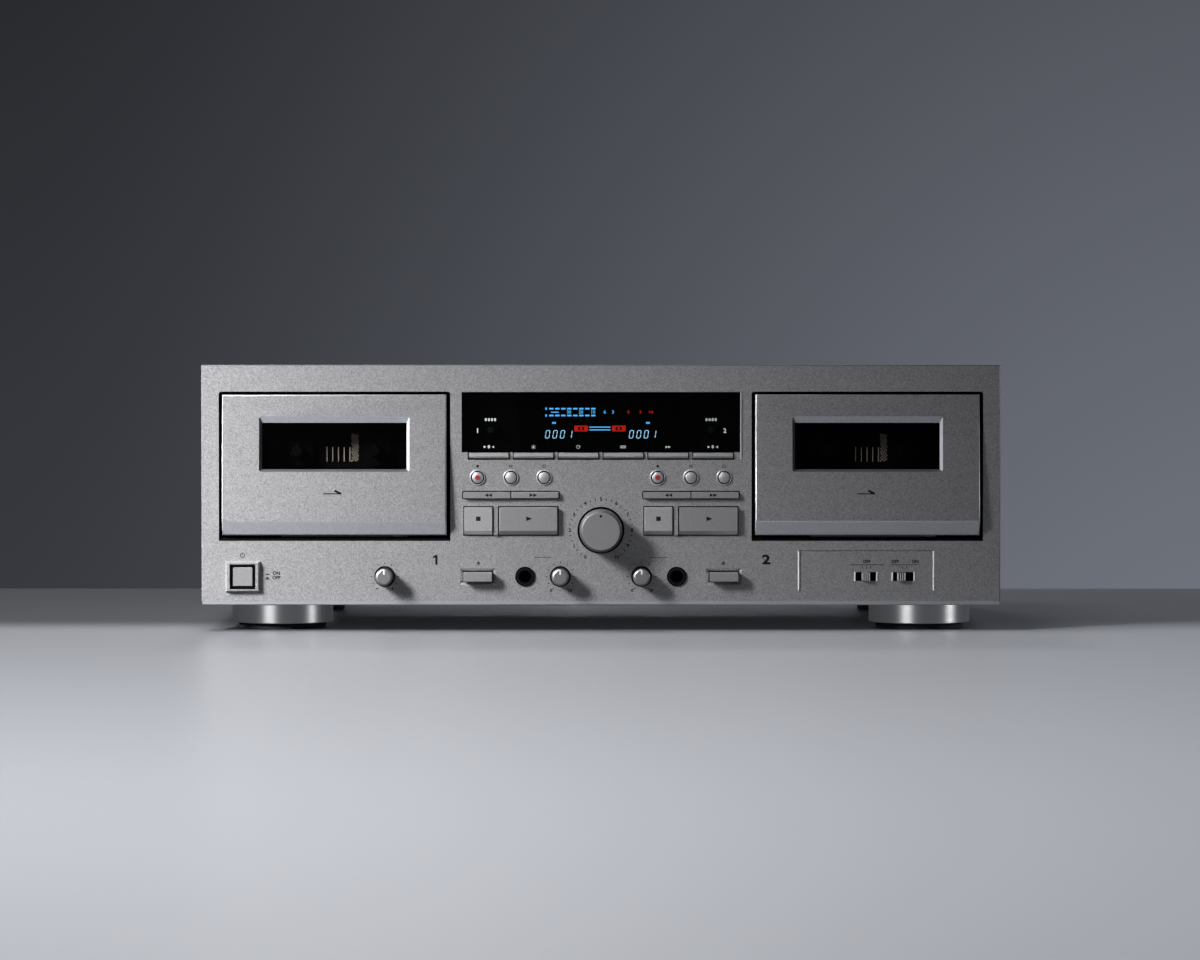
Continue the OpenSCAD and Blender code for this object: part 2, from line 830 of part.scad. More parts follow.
// Dark glass in front of the display
module display_window() {
  half = disp_wide / 2;
  color([0.03, 0.03, 0.04]) difference() {
    union() {
      block([seat_gap - half, half - seat_gap], [y0 + disp_in, face_y],
        [z0 + disp_z, z0 + disp_z + disp_h - seat_gap]);
      block([-half - disp_lap, half + disp_lap], [face_y, face_y + disp_flange],
        [z0 + disp_z, z0 + disp_z + disp_h + disp_lap]);
    }
    for (s = [-1, 1])
      rod(s * pip_mid, z0 + pip_z, pip_r + gap, [y0, face_y + disp_flange + over]);
  }
}

// Flat glass tube of the display
module display_tube() {
  color([0.1, 0.14, 0.16])
    block([-tube_w / 2, tube_w / 2], [face_y + disp_flange + tube_gap, board_y],
      [z0 + disp_z + tube_edge, z0 + disp_z + disp_h - tube_edge]);
}

// Jack with its collar, blind bore and body
module jack(x) {
  difference() {
    union() {
      rod(x, row, jack_collar_r, [y0 - jack_out, face_y]);
      bar(x, row, jack_body, jack_body, [face_y, y0 + jack_d + jack_back]);
    }
    rod(x, row, jack_r, [y0 - jack_out - over, y0 + jack_d]);
  }
}

// Phono socket through the rear plate
module phono(x, z) {
  difference() {
    union() {
      rod(x, z, phono_r, [y1 - sheet_t - phono_back, y1 + phono_out]);
      rod(x, z, phono_r + phono_lip, [y1, y1 + phono_lip]);
      rod(x, z, phono_r + phono_lip, [y1 - sheet_t - phono_back, y1 - sheet_t]);
    }
    rod(x, z, phono_bore, [y1 + phono_lip, y1 + phono_out + over]);
  }
}

// Two jacks at the front and four phono sockets at the back
module audio_sockets() {
  color([0.1, 0.1, 0.1]) {
    for (s = [-1, 1])
      jack(s * jack_x);
    for (p = phono_places)
      phono(p[0], p[1]);
  }
}

// Holes of a transport plate for its shafts and the pins of the head carriage
module transport_holes() {
  through = [well_y - over, frame_back + over];
  for (s = [-1, 1])
    rod(s * hub_x, hub_h, reel_shaft + turn_gap, through);
  rod(capstan_x, capstan_h, capstan_r + turn_gap, [well_y - over, bracket_y + bracket_t + over]);
  for (x = guide_x) {
    for (z = [guide_h, guide_h + head_lift])
      rod(x, z, guide_r + gap, through);
    bar(x, guide_h + head_lift / 2, 2 * (guide_r + gap), head_lift, through);
  }
  rod(motor_x, motor_h, pulley_r + over, [bracket_y - over, bracket_y + bracket_t + over]);
}

// Ribs and reflector strip on the front of a transport plate
module transport_trim() {
  for (i = [-2:2])
    block([rib_x + i * rib_pitch - rib_w / 2, rib_x + i * rib_pitch + rib_w / 2],
      [well_y - rib_w, well_y + over], [hub_h - rib_low, hub_h + rib_high]);
  block([strip_x, strip_x + strip_w], [well_y - rib_w / 2, well_y + over],
    [hub_h - rib_low, hub_h + strip_high]);
}

// Transport plates on legs, each with a rear bracket on posts
module transport_frames() {
  color([0.3, 0.3, 0.31]) for (deck = [1, 2]) at_deck(deck) difference() {
    union() {
      block([-well_x - well_t, well_x + well_t], [well_y, frame_back], [well_lo - well_t, well_hi + well_t]);
      transport_trim();
      for (s = [-1, 1]) {
        bar(s * leg_x, (z0 + sheet_t + well_lo) / 2, leg_w, well_lo - z0 - sheet_t, [well_y, frame_back]);
        bar(s * leg_x, z0 + sheet_t + frame_t / 2, leg_w, frame_t, [well_y, frame_back + leg_w]);
      }
      rod(capstan_x, capstan_h, bush_r, [frame_back - over, fly_y - gap]);
      for (x = [-bracket_x, bracket_x], z = [bracket_lo, bracket_hi])
        rod(x, z, post_r, [frame_back - over, bracket_y + over]);
      block([-bracket_x - 2 * post_r, bracket_x + 2 * post_r], [bracket_y, bracket_y + bracket_t],
        [bracket_lo - 2 * post_r, bracket_hi + 2 * post_r]);
    }
    transport_holes();
  }
}

// Outline of a belt round the motor pulley and the flywheel
module belt_outline(grow) {
  hull() {
    translate([motor_x, motor_h]) circle(r = pulley_r + grow, $fn = 32);
    translate([capstan_x, capstan_h]) circle(r = flywheel_r + grow, $fn = 48);
  }
}

// Motors with their pulleys, and the flat belts
module motor_drives() {
  for (deck = [1, 2]) at_deck(deck) {
    color([0.6, 0.61, 0.62]) {
      rod(motor_x, motor_h, motor_r, [bracket_y + bracket_t, bracket_y + bracket_t + motor_l]);
      rod(motor_x, motor_h, motor_shaft, [fly_y, bracket_y + bracket_t + over]);
      rod(motor_x, motor_h, pulley_r, [fly_y + over, fly_y + fly_t - over]);
    }
    color([0.06, 0.06, 0.06]) along_y([fly_y + 2 * over, fly_y + fly_t - 2 * over]) difference() {
      belt_outline(gap + belt_t);
      belt_outline(gap);
    }
  }
}

// Push switch on the front board
module push_switch(x, z) {
  bar(x, z, switch_w, switch_w, [board_y - switch_d, board_y + over]);
}

// Control with a bore for its shaft on a board
module control(x, z, w, shaft) {
  difference() {
    bar(x, z, w, w, [board_y - control_d, board_y]);
    rod(x, z, shaft + turn_gap, [board_y - control_d - over, board_y - over]);
  }
}

// Board between two places, on spacers to the tray
module front_board(x, z, spacers) {
  block(x, [board_y, board_y + board_t], z);
  for (sx = spacers)
    rod(sx, z0 + spacer_z, spacer_r, [board_y + board_t - over, rim_y]);
}

// Middle board behind the panel, with the switches of the keys
module middle_board() {
  difference() {
    union() {
      front_board([-board_x, board_x], [z0 + board_low, z0 + disp_z + disp_h], spacer_xs);
      for (deck = [1, 2]) {
        x = keys_at(deck);
        for (i = [-1:1])
          push_switch(x + i * round_step, z0 + round_z);
        for (s = [-1, 1])
          push_switch(x + s * wind_wide / 4, z0 + wind_z + wind_h / 2);
        push_switch(x + stop_x + stop_wide / 2, z0 + play_z + play_h / 2);
        push_switch(x + play_x + play_wide / 2, z0 + play_z + play_h / 2);
        push_switch(side(deck) * pip_mid, z0 + pip_z);
      }
      for (i = [0:fkey_n - 1])
        push_switch(fkey_at(i), fkey_lo + fkey_h / 2);
      control(0, z0 + rec_z, rec_control, rec_shaft);
      for (s = [-1, 1])
        control(s * level_x, row, knob_control, knob_shaft);
    }
    for (s = [-1, 1])
      bar(s * jack_x, row, jack_body + 2 * gap, jack_body + 2 * gap,
        [board_y - over, board_y + board_t + over]);
  }
}

// Main board on posts in the tray, with its larger components
module main_board() {
  lo = z0 + sheet_t;
  block(main_x, main_y, [lo + main_up, lo + main_up + board_t]);
  for (x = main_x + [main_edge, -main_edge], y = main_y + [main_edge, -main_edge])
    rod_z(x, y, spacer_r, [lo, lo + main_up + over]);
  for (i = [0:3])
    rod_z(main_x[0] + (i + 1) * main_step, main_y[1] - main_step, can_r,
      [lo + main_up, lo + main_up + can_tall]);
  block([main_x[1] - 2 * main_step, main_x[1] - main_edge],
    [main_y[0] + main_step, main_y[0] + main_step + sink_t], [lo + main_up, lo + main_up + sink_tall]);
}

// Boards with their switches and controls
module circuit_boards() {
  small = [z0 + board_low, z0 + board_low + small_h];
  color([0.1, 0.3, 0.17]) {
    middle_board();
    front_board([-pitch_x - small_w / 2, small_w / 2 - pitch_x], small,
      [-pitch_x - small_w / 3, small_w / 3 - pitch_x]);
    control(-pitch_x, row, knob_control, knob_shaft);
    front_board([timer_x - small_w / 2, noise_x + small_w / 2], small,
      [timer_x - small_w / 3, noise_x + small_w / 3]);
    for (x = [timer_x, noise_x])
      bar(x, row, slot_w, slot_h, [board_y - switch_d, board_y + over]);
    main_board();
    difference() {
      bar(-power_x, row, power_body, power_body, [rim_y + sheet_t, rim_y + sheet_t + power_body_d]);
      rod(-power_x, row, power_stem + gap, [rim_y, rim_y + sheet_t + power_body_d - 2 * over]);
    }
  }
}

// Mains transformer, a stack of plates with its winding
module power_transformer() {
  lo = z0 + sheet_t;
  color([0.35, 0.32, 0.3]) {
    block(trafo_x, trafo_y, [lo, lo + trafo_h]);
    block(trafo_x + [trafo_limb, -trafo_limb], trafo_y + [-trafo_limb, trafo_limb],
      [lo + trafo_limb, lo + trafo_h - trafo_limb]);
  }
}

// Pan-head screw along +X or -X
module side_screw(s, y) {
  rod_x(y, side_screw_z, screw_head_r, s > 0 ? [cover_x, cover_x + screw_head_h]
    : [-cover_x - screw_head_h, -cover_x]);
  rod_x(y, side_screw_z, screw_r, s > 0 ? [cover_x - screw_len, cover_x + over]
    : [-cover_x - over, screw_len - cover_x]);
}

// All the screws of the case
module screws() {
  color([0.2, 0.2, 0.2]) {
    for (s = [-1, 1], y = side_screw_y)
      side_screw(s, y);
    for (x = rear_screw_x) {
      rod(x, rear_screw_z, screw_head_r, [y1, y1 + screw_head_h]);
      rod(x, rear_screw_z, screw_r, [y1 - screw_len, y1 + over]);
    }
    for (x = [-foot_x, foot_x], y = foot_ys) {
      rod_z(x, y, screw_head_r, [z0 + sheet_t, z0 + sheet_t + screw_head_h]);
      rod_z(x, y, screw_r, [z0 - screw_len + over, z0 + sheet_t + over]);
    }
  }
}

// Children in the frame of a door face, with its lower edge at the knee
module on_face() {
  translate([0, y0 - knee_out, knee_z]) rotate([-slope, 0, 0]) children();
}

// Side view of a door
function door_outline() = [[y0 - door_out, door_hi], [y0 - knee_out, knee_z],
  [y0 - door_out, door_lo], [y0 + door_back, door_lo], [y0 + door_back, door_hi]];

// Bevelled opening of the window, in the frame of the door face
module window_cut() {
  side_in = win_side * over / door_t;
  top_in = win_top * over / door_t;
  low_in = win_low * over / door_t;
  intersection() {
    along_z([win_z - win_h, win_z + 2 * win_h])
      polygon([[-win_w / 2 - side_in, -over], [win_w / 2 + side_in, -over],
        [pane_w / 2 - side_in, door_t + over], [side_in - pane_w / 2, door_t + over]]);
    along_x([-win_w, win_w])
      polygon([[-over, win_z - low_in], [-over, win_z + win_h + top_in],
        [door_t + over, win_z + win_h - win_top - top_in], [door_t + over, win_z + win_low + low_in]]);
    along_y([-over, door_t + over])
      round_rect([-win_w / 2, win_w / 2], [win_z, win_z + win_h], win_r);
  }
}

// Hollow wedge-shaped door
module door_panel(deck) {
  color("silver") at_deck(deck) difference() {
    along_x([-door_w / 2, door_w / 2]) polygon(door_outline());
    intersection() {
      along_x([door_t - door_w / 2, door_w / 2 - door_t]) translate([door_t, 0]) polygon(door_outline());
      block([-door_w, door_w], [y0 - knee_out, hinge_y], [door_lo + door_t, door_hi - door_t]);
    }
    on_face() window_cut();
  }
}

// Clear pane behind the window opening
module door_window(deck) {
  half = pane_w / 2 + pane_lap;
  color([0.2, 0.22, 0.24, 0.5]) at_deck(deck) on_face()
    block([-half, half], [door_t, door_t + pane_t],
      [win_z + win_low - pane_lap, win_z + win_h - win_top + pane_lap]);
}

// Sheet holder with a pocket that is open at the top, and its hinge pins
module cassette_holder(deck) {
  lo = pocket_lo - shelf_t;
  back = pocket_back + holder_t;
  hole = pane_w / 2 + pane_lap + over;
  color([0.12, 0.12, 0.13]) at_deck(deck) difference() {
    union() {
      block([over - door_w / 2, door_w / 2 - over], [holder_y, pocket_y], [lo, pocket_hi]);
      for (s = [0, 1]) mirror([s, 0, 0]) {
        block([pocket_w / 2, cheek_x], [holder_y, back], [lo, pocket_hi]);
        block([pocket_w / 2 - holder_lip, cheek_x], [pocket_back, back], [lo, pocket_hi]);
        block([pocket_w / 2 - shelf_w, cheek_x], [holder_y, back], [lo, pocket_lo]);
        block([pocket_w / 2, arm_x], [holder_y, hinge_y + hinge_r + over],
          [hinge_z - hinge_r - arm_wall, pocket_lo]);
        rod_x(hinge_y, hinge_z, hinge_r, [arm_x - over, well_x + well_t]);
      }
    }
    block([-hole, hole], [holder_y - over, pocket_y + over],
      [knee_z + win_z - pane_lap - over, knee_z + win_z + win_h + over]);
  }
}

// Domed round key with its stem
module round_key(deck, i) {
  x = keys_at(deck) + i * round_step;
  z = z0 + round_z;
  color([0.72, 0.72, 0.72]) {
    intersection() {
      rod(x, z, round_r, [y0 - round_out, cap_back]);
      translate([x, y0 - round_out + dome_r, z]) sphere(r = dome_r, $fn = 96);
    }
    rod(x, z, stem_r, [cap_back - over, stem_y]);
  }
}

// One half of a pair of winding keys
module wind_key(deck, s) {
  x = keys_at(deck);
  z = z0 + wind_z;
  color([0.72, 0.72, 0.72]) {
    intersection() {
      along_y([y0 - wind_out, cap_back])
        round_rect([x - wind_wide / 2, x + wind_wide / 2], [z, z + wind_h], wind_r);
      block(s > 0 ? [x + key_gap / 2, x + wind_wide] : [x - wind_wide, x - key_gap / 2],
        [y0 - wind_wide, y0 + wind_wide], [z - over, z + wind_h + over]);
    }
    rod(x + s * wind_wide / 4, z + wind_h / 2, wind_h / 2 - gap, [cap_back - over, stem_y]);
  }
}

// Stop or play key with a chamfer along its bottom
module wide_key(deck, left, w) {
  x = keys_at(deck) + left;
  z = z0 + play_z;
  color([0.72, 0.72, 0.72]) {
    along_x([x, x + w])
      polygon([[y0 - play_out, z + play_h], [y0 - play_out, z + play_lip],
        [y0 - play_out + play_lip, z], [cap_back, z], [cap_back, z + play_h]]);
    rod(x + w / 2, z + play_h / 2, stem_r, [cap_back - over, stem_y]);
  }
}

// Wedge-shaped key below the display
module display_key(i) {
  x = fkey_at(i);
  color([0.72, 0.72, 0.72]) {
    along_x([x - fkey_w / 2, x + fkey_w / 2])
      polygon([[y0 - fkey_out / 2, fkey_lo + fkey_h], [y0 - fkey_out, fkey_lo + fkey_h / 3],
        [y0 - fkey_out / 2, fkey_lo], [cap_back, fkey_lo], [cap_back, fkey_lo + fkey_h]]);
    rod(x, fkey_lo + fkey_h / 2, fkey_h / 2 - gap, [cap_back - over, stem_y]);
  }
}

// Small key in the display glass
module counter_key(deck) {
  color([0.1, 0.1, 0.1])
    rod(side(deck) * pip_mid, z0 + pip_z, pip_r, [y0 + disp_in - pip_out, stem_y]);
}

// Eject key
module eject_key(deck) {
  x = side(deck) * eject_x;
  color([0.72, 0.72, 0.72]) {
    bar(x, row, eject_w, eject_h, [y0 - eject_out, cap_back]);
    rod(x, row, stem_r, [cap_back - over, board_y - push_travel - gap]);
  }
}

// Power key with its stem into the mains switch
module power_button() {
  color([0.72, 0.72, 0.72]) {
    bar(-power_x, row, power_w, power_h, [y0 - power_out, cap_back]);
    rod(-power_x, row, power_stem, [cap_back - over, rim_y + sheet_t + power_body_d / 2]);
  }
}

// Cap of a slide switch with the shield behind its slot
module slide_switch(x) {
  shield_y = face_y + gap;
  color([0.8, 0.8, 0.78]) {
    bar(x, row, cap_w, slot_h - 2 * gap, [y0 - cap_out, shield_y + over]);
    bar(x, row, slot_w + cap_step, slot_h + 2 * over, [shield_y, shield_y + over]);
    bar(x, row, cap_w / 2, cap_w / 2, [shield_y, board_y - switch_d - gap]);
  }
}

// Turned knob with a tapered side, a chamfered front and its shaft
module knob(x, z, r, out, back, draft, shaft, tip) {
  color([0.74, 0.74, 0.74]) {
    translate([x, y0, z]) rotate([90, 0, 0]) rotate_extrude()
      polygon([[0, -back], [r, -back], [r, 0], [r - draft, out - over],
        [r - draft - over, out], [0, out]]);
    rod(x, z, shaft, [y0 + back - over, tip]);
  }
}

// Recording level knob
module rec_level_knob() {
  knob(0, z0 + rec_z, rec_r, rec_out, rec_recess - knob_clear, rec_draft, rec_shaft, board_y - 2 * over);
}

// Small knob in the lower row
module small_knob(x) {
  knob(x, row, knob_r, knob_out, board_y - control_d - knob_clear - y0, knob_draft, knob_shaft,
    board_y - 2 * over);
}

// Reel spindle with three fins, its disc and its shaft
module spindle(deck, s) {
  color([0.1, 0.1, 0.1]) at_deck(deck) translate([s * hub_x, 0, hub_h]) {
    rod(0, 0, hub_r - fin_t, [hub_tip, reel_y + over]);
    for (i = [0:2])
      rotate([0, i * 120, 0]) block([-fin_t / 2, fin_t / 2], [hub_tip + over, reel_y + over], [0, hub_r]);
    rod(0, 0, reel_r, [reel_y, reel_y + reel_t]);
    rod(0, 0, reel_shaft, [reel_y, frame_back + gap + reel_t]);
    rod(0, 0, reel_shaft + over, [frame_back + gap, frame_back + gap + reel_t]);
  }
}

// Capstan with its flywheel
module capstan(deck) {
  color([0.75, 0.75, 0.76]) at_deck(deck) {
    rod(capstan_x, capstan_h, capstan_r, [head_tip, bracket_y + bracket_t]);
    rod(capstan_x, capstan_h, flywheel_r, [fly_y, fly_y + fly_t]);
  }
}

// Head carriage with its head, guide pins and pinch roller
module head_carriage(deck) {
  z = carriage_lo;
  top = carriage_lo + carriage_h;
  color([0.55, 0.55, 0.56]) at_deck(deck) {
    block([guide_x[0] - 2 * roller_r, capstan_x + roller_r], [carriage_y, carriage_y + carriage_t], [z, top]);
    block([-head_w / 2, head_w / 2], [head_tip, carriage_y + over], [z + head_up, top + over]);
    for (x = guide_x) {
      rod(x, guide_h, guide_r, [carriage_y, frame_back + gap + carriage_t]);
      rod(x, guide_h, guide_r + over, [frame_back + gap, frame_back + gap + carriage_t]);
    }
    rod(capstan_x, roller_h, pin_r, [head_tip, carriage_y + over]);
    difference() {
      rod(capstan_x, roller_h, roller_r, [head_tip + over, carriage_y - over]);
      rod(capstan_x, roller_h, pin_r + turn_gap, [head_tip, carriage_y]);
    }
  }
}

front_panel();
deck_wells();
top_cover();
chassis();
rear_panel();
feet();
foot_pads();
display_window();
display_tube();
audio_sockets();
transport_frames();
motor_drives();
circuit_boards();
power_transformer();
screws();
door_panel(1);  // door_panel_1
door_panel(2);  // door_panel_2
door_window(1);  // door_window_1
door_window(2);  // door_window_2
cassette_holder(1);  // cassette_holder_1
cassette_holder(2);  // cassette_holder_2
round_key(1, -1);  // record_button_1
round_key(1, 0);  // pause_button_1
round_key(1, 1);  // mute_button_1
round_key(2, -1);  // record_button_2
round_key(2, 0);  // pause_button_2
round_key(2, 1);  // mute_button_2
wind_key(1, -1);  // rewind_button_1
wind_key(1, 1);  // forward_button_1
wind_key(2, -1);  // rewind_button_2
wind_key(2, 1);  // forward_button_2
wide_key(1, stop_x, stop_wide);  // stop_button_1
wide_key(1, play_x, play_wide);  // play_button_1
wide_key(2, stop_x, stop_wide);  // stop_button_2
wide_key(2, play_x, play_wide);  // play_button_2
eject_key(1);  // eject_button_1
eject_key(2);  // eject_button_2
power_button();
display_key(0);  // zero_button_1
display_key(1);  // dimmer_button
display_key(2);  // repeat_button
display_key(3);  // parallel_button
display_key(4);  // dub_button
display_key(5);  // zero_button_2
counter_key(1);  // counter_button_1
counter_key(2);  // counter_button_2
slide_switch(timer_x);  // timer_switch
slide_switch(noise_x - cap_step / 2);  // noise_switch
rec_level_knob();
small_knob(-level_x);  // mic_level_knob
small_knob(level_x);  // phones_level_knob
small_knob(-pitch_x);  // pitch_knob
spindle(1, -1);  // supply_spindle_1
spindle(1, 1);  // takeup_spindle_1
spindle(2, -1);  // supply_spindle_2
spindle(2, 1);  // takeup_spindle_2
capstan(1);  // capstan_1
capstan(2);  // capstan_2
head_carriage(1);  // head_carriage_1
head_carriage(2);  // head_carriage_2
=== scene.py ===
"""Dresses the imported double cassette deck: finishes, printed marks, a lit display and a plain studio."""
import json
import logging
import math
from collections.abc import Callable
from dataclasses import dataclass, field
from enum import Enum

import bpy
from mathutils import Euler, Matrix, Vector

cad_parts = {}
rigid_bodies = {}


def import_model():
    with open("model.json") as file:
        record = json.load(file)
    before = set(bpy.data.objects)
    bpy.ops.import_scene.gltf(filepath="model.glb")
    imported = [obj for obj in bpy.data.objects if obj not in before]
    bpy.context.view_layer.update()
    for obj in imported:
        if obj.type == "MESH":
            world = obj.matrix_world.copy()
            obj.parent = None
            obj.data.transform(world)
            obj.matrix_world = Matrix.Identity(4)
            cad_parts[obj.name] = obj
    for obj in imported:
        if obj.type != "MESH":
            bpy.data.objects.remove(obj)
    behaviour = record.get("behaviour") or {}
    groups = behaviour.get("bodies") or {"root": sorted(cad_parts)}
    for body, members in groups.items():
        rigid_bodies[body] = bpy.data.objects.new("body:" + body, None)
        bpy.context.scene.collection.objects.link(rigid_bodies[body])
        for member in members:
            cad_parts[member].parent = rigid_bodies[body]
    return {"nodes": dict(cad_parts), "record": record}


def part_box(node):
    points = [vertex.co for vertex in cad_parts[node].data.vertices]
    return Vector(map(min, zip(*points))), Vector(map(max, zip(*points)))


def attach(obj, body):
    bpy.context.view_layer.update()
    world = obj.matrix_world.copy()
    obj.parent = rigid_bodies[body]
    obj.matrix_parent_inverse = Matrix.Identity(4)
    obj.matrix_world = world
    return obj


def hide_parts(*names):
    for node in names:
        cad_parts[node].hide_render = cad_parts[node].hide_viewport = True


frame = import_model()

LOG = logging.getLogger("cassette_deck")
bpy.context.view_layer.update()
# Metres in a millimetre; sizes below are in millimetres unless they say otherwise.
MM = 0.001
CABINET = "cabinet"
FACE_Y = -126.0
ROW_Z = 29.8
DECKS = {1: -145.0, 2: 145.0}
KEYS = {1: -49.0, 2: 49.0}
UPRIGHT = (math.pi / 2, 0.0, 0.0)
Colour = tuple[float, float, float]
Point = tuple[float, float, float]
Profile = list[tuple[float, float]]
Material = bpy.types.Material
Tree = bpy.types.NodeTree
Socket = bpy.types.NodeSocket
Piece = bpy.types.Object
Test = Callable[[Vector, Vector], bool]


class Pattern(Enum):
    """What the surface of a finish carries besides its colour; the value names its node group."""

    GRAIN = "fine_grain"
    TURNED = "tool_marks"


class Groups:
    """Shader node groups that several finishes share, each built once."""

    _made: dict[Pattern, Tree] = {}
    _inputs = ("Size", "Tone", "Rough", "Patch")
    _stretch = (0.03, 0.03, 1.0)

    @staticmethod
    def node(tree: Tree, kind: str, *terms: object, **values: object) -> bpy.types.Node:
        """Add a node to a tree and set it.

        Args:
            tree: Tree that takes the node.
            kind: Type name of the node.
            terms: Its first inputs in order, each a value, an output to link, or None to leave it.
            values: Its properties by name.

        Returns:
            The new node.
        """
        made = tree.nodes.new(kind)
        for key, value in values.items():
            setattr(made, key, value)
        for socket, term in zip(made.inputs, terms):
            if isinstance(term, Socket):
                tree.links.new(term, socket)
            elif term is not None:
                socket.default_value = term
        return made

    @classmethod
    def math(cls, tree: Tree, operation: str, *terms: float | Socket) -> Socket:
        """Add a math node that works on numbers or outputs, and return its output."""
        return cls.node(tree, "ShaderNodeMath", *terms, operation=operation).outputs[0]

    @classmethod
    def shade(cls, tree: Tree, colour: Colour | Socket, share: Socket) -> Socket:
        """Add a node that scales a colour, and return its output."""
        return cls.node(tree, "ShaderNodeVectorMath", colour, None, None, share, operation="SCALE").outputs[0]

    @classmethod
    def ramp(cls, tree: Tree, value: Socket, ends: tuple[float, ...], blend: str) -> Socket:
        """Add a node that maps a value from two ends to two others, and return its output."""
        return cls.node(tree, "ShaderNodeMapRange", value, *ends, interpolation_type=blend).outputs[0]

    @classmethod
    def axes(cls, tree: Tree) -> bpy.types.NodeOutputs:
        """Add nodes that split the Object coordinates, and return their X, Y and Z outputs."""
        place = cls.node(tree, "ShaderNodeTexCoord").outputs["Object"]
        return cls.node(tree, "ShaderNodeSeparateXYZ", place).outputs

    @classmethod
    def _start(cls, name: str) -> Tree:
        """Return a new group of this name with its sockets."""
        tree = bpy.data.node_groups.new(name, "ShaderNodeTree")
        sockets = [("Base", "INPUT", "Color"), *((label, "INPUT", "Float") for label in cls._inputs),
                   ("Color", "OUTPUT", "Color"), ("Roughness", "OUTPUT", "Float"),
                   ("Height", "OUTPUT", "Float")]
        for label, way, kind in sockets:
            tree.interface.new_socket(label, in_out=way, socket_type=f"NodeSocket{kind}")
        return tree

    @classmethod
    def _speckle(cls, tree: Tree, place: Socket, scale: Socket) -> Socket:
        """Return the fine speckle of metallic paint or moulded plastic."""
        noise = cls.node(tree, "ShaderNodeTexNoise", place, None, scale, 2.0, 0.65)
        flake = cls.node(tree, "ShaderNodeTexVoronoi", place, None, scale)
        mean = cls.node(tree, "ShaderNodeMixRGB", 0.45, noise.outputs[0], flake.outputs["Color"])
        return cls.node(tree, "ShaderNodeRGBToBW", mean.outputs[0]).outputs[0]

    @classmethod
    def _marks(cls, tree: Tree, place: Socket, scale: Socket) -> Socket:
        """Return the fine level tool marks of metal that was turned or brushed."""
        level = cls.node(tree, "ShaderNodeMapping", place, None, None, cls._stretch).outputs[0]
        return cls.node(tree, "ShaderNodeTexNoise", level, None, scale, 3.0, 0.7).outputs[0]

    @classmethod
    def get(cls, pattern: Pattern) -> Tree:
        """Return the group that varies a colour and a roughness by a pattern and by slow patches.

        Args:
            pattern: The fine pattern.

        Returns:
            The group, which is built the first time.
        """
        if pattern in cls._made:
            return cls._made[pattern]
        tree = cls._made[pattern] = cls._start(pattern.value)
        enter, leave = tree.nodes.new("NodeGroupInput").outputs, tree.nodes.new("NodeGroupOutput").inputs
        place = cls.node(tree, "ShaderNodeTexCoord").outputs["Object"]
        scale = cls.math(tree, "DIVIDE", 1.0 / MM, enter["Size"])
        if pattern is Pattern.TURNED:
            fine, swing, slow = cls._marks(tree, place, scale), 0.8, (40.0, 2.0)
        else:
            fine, swing, slow = cls._speckle(tree, place, scale), 0.3, (9.0, 3.0)
        centred = cls.math(tree, "SUBTRACT", fine, 0.5)
        patch = cls.node(tree, "ShaderNodeTexNoise", place, None, *slow).outputs[0]
        patch = cls.math(tree, "SUBTRACT", patch, 0.5)
        tone = cls.math(tree, "MULTIPLY_ADD", centred, enter["Tone"], 1.0)
        tone = cls.math(tree, "MULTIPLY_ADD", patch, enter["Patch"], tone)
        paint = cls.shade(tree, enter["Base"], tone)
        rough = cls.math(tree, "MULTIPLY_ADD", centred, swing, 1.0)
        rough = cls.math(tree, "MULTIPLY", rough, enter["Rough"])
        for output, label in ((paint, "Color"), (rough, "Roughness"), (fine, "Height")):
            tree.links.new(output, leave[label])
        return tree


@dataclass(frozen=True)
class Finish:
    """One finish of the deck and the record's slot that it belongs to."""

    name: str
    slot: str
    colour: Colour
    metallic: float = 0.0
    rough: float = 0.45
    pattern: Pattern = Pattern.GRAIN
    size: float = 0.6
    tone: float = 0.12
    patch: float = 0.05
    relief: float = 0.01
    glow: float = 0.0
    see_through: float = 1.0
    shine: float = 0.5
    brushed: float = 0.0

    def material(self) -> Material:
        """Build the finish as a material, or return the one made before.

        Returns:
            The material with its pattern wired to the shader.
        """
        known = bpy.data.materials.get(self.name)
        if known:
            return known
        material = bpy.data.materials.new(self.name)
        material.use_nodes = True
        material.diffuse_color = colour = (*self.colour, 1.0)
        tree = material.node_tree
        link, shader, group = tree.links.new, tree.nodes["Principled BSDF"], tree.nodes.new("ShaderNodeGroup")
        group.node_tree = Groups.get(self.pattern)
        self._set(shader, {"Metallic": self.metallic, "Alpha": self.see_through,
                           "Specular IOR Level": self.shine})
        self._set(group, {"Base": colour, "Size": self.size, "Tone": self.tone, "Rough": self.rough,
                          "Patch": self.patch})
        link(group.outputs["Color"], shader.inputs["Base Color"])
        link(group.outputs["Roughness"], shader.inputs["Roughness"])
        if self.glow > 0.0:
            link(group.outputs["Color"], shader.inputs["Emission Color"])
            self._set(shader, {"Emission Strength": self.glow})
        if self.brushed > 0.0:
            self._set(shader, {"Anisotropic": self.brushed})
            upright = Groups.node(tree, "ShaderNodeCombineXYZ", 0.0, 0.0, 1.0)
            link(upright.outputs[0], shader.inputs["Tangent"])
        if self.relief > 0.0:
            bump = tree.nodes.new("ShaderNodeBump")
            self._set(bump, {"Strength": 1.0, "Distance": self.relief * MM})
            link(group.outputs["Height"], bump.inputs["Height"])
            link(bump.outputs["Normal"], shader.inputs["Normal"])
        return material

    @staticmethod
    def _set(node: bpy.types.Node, values: dict[str, object]) -> None:
        """Set inputs of a node by their names."""
        for label, value in values.items():
            node.inputs[label].default_value = value


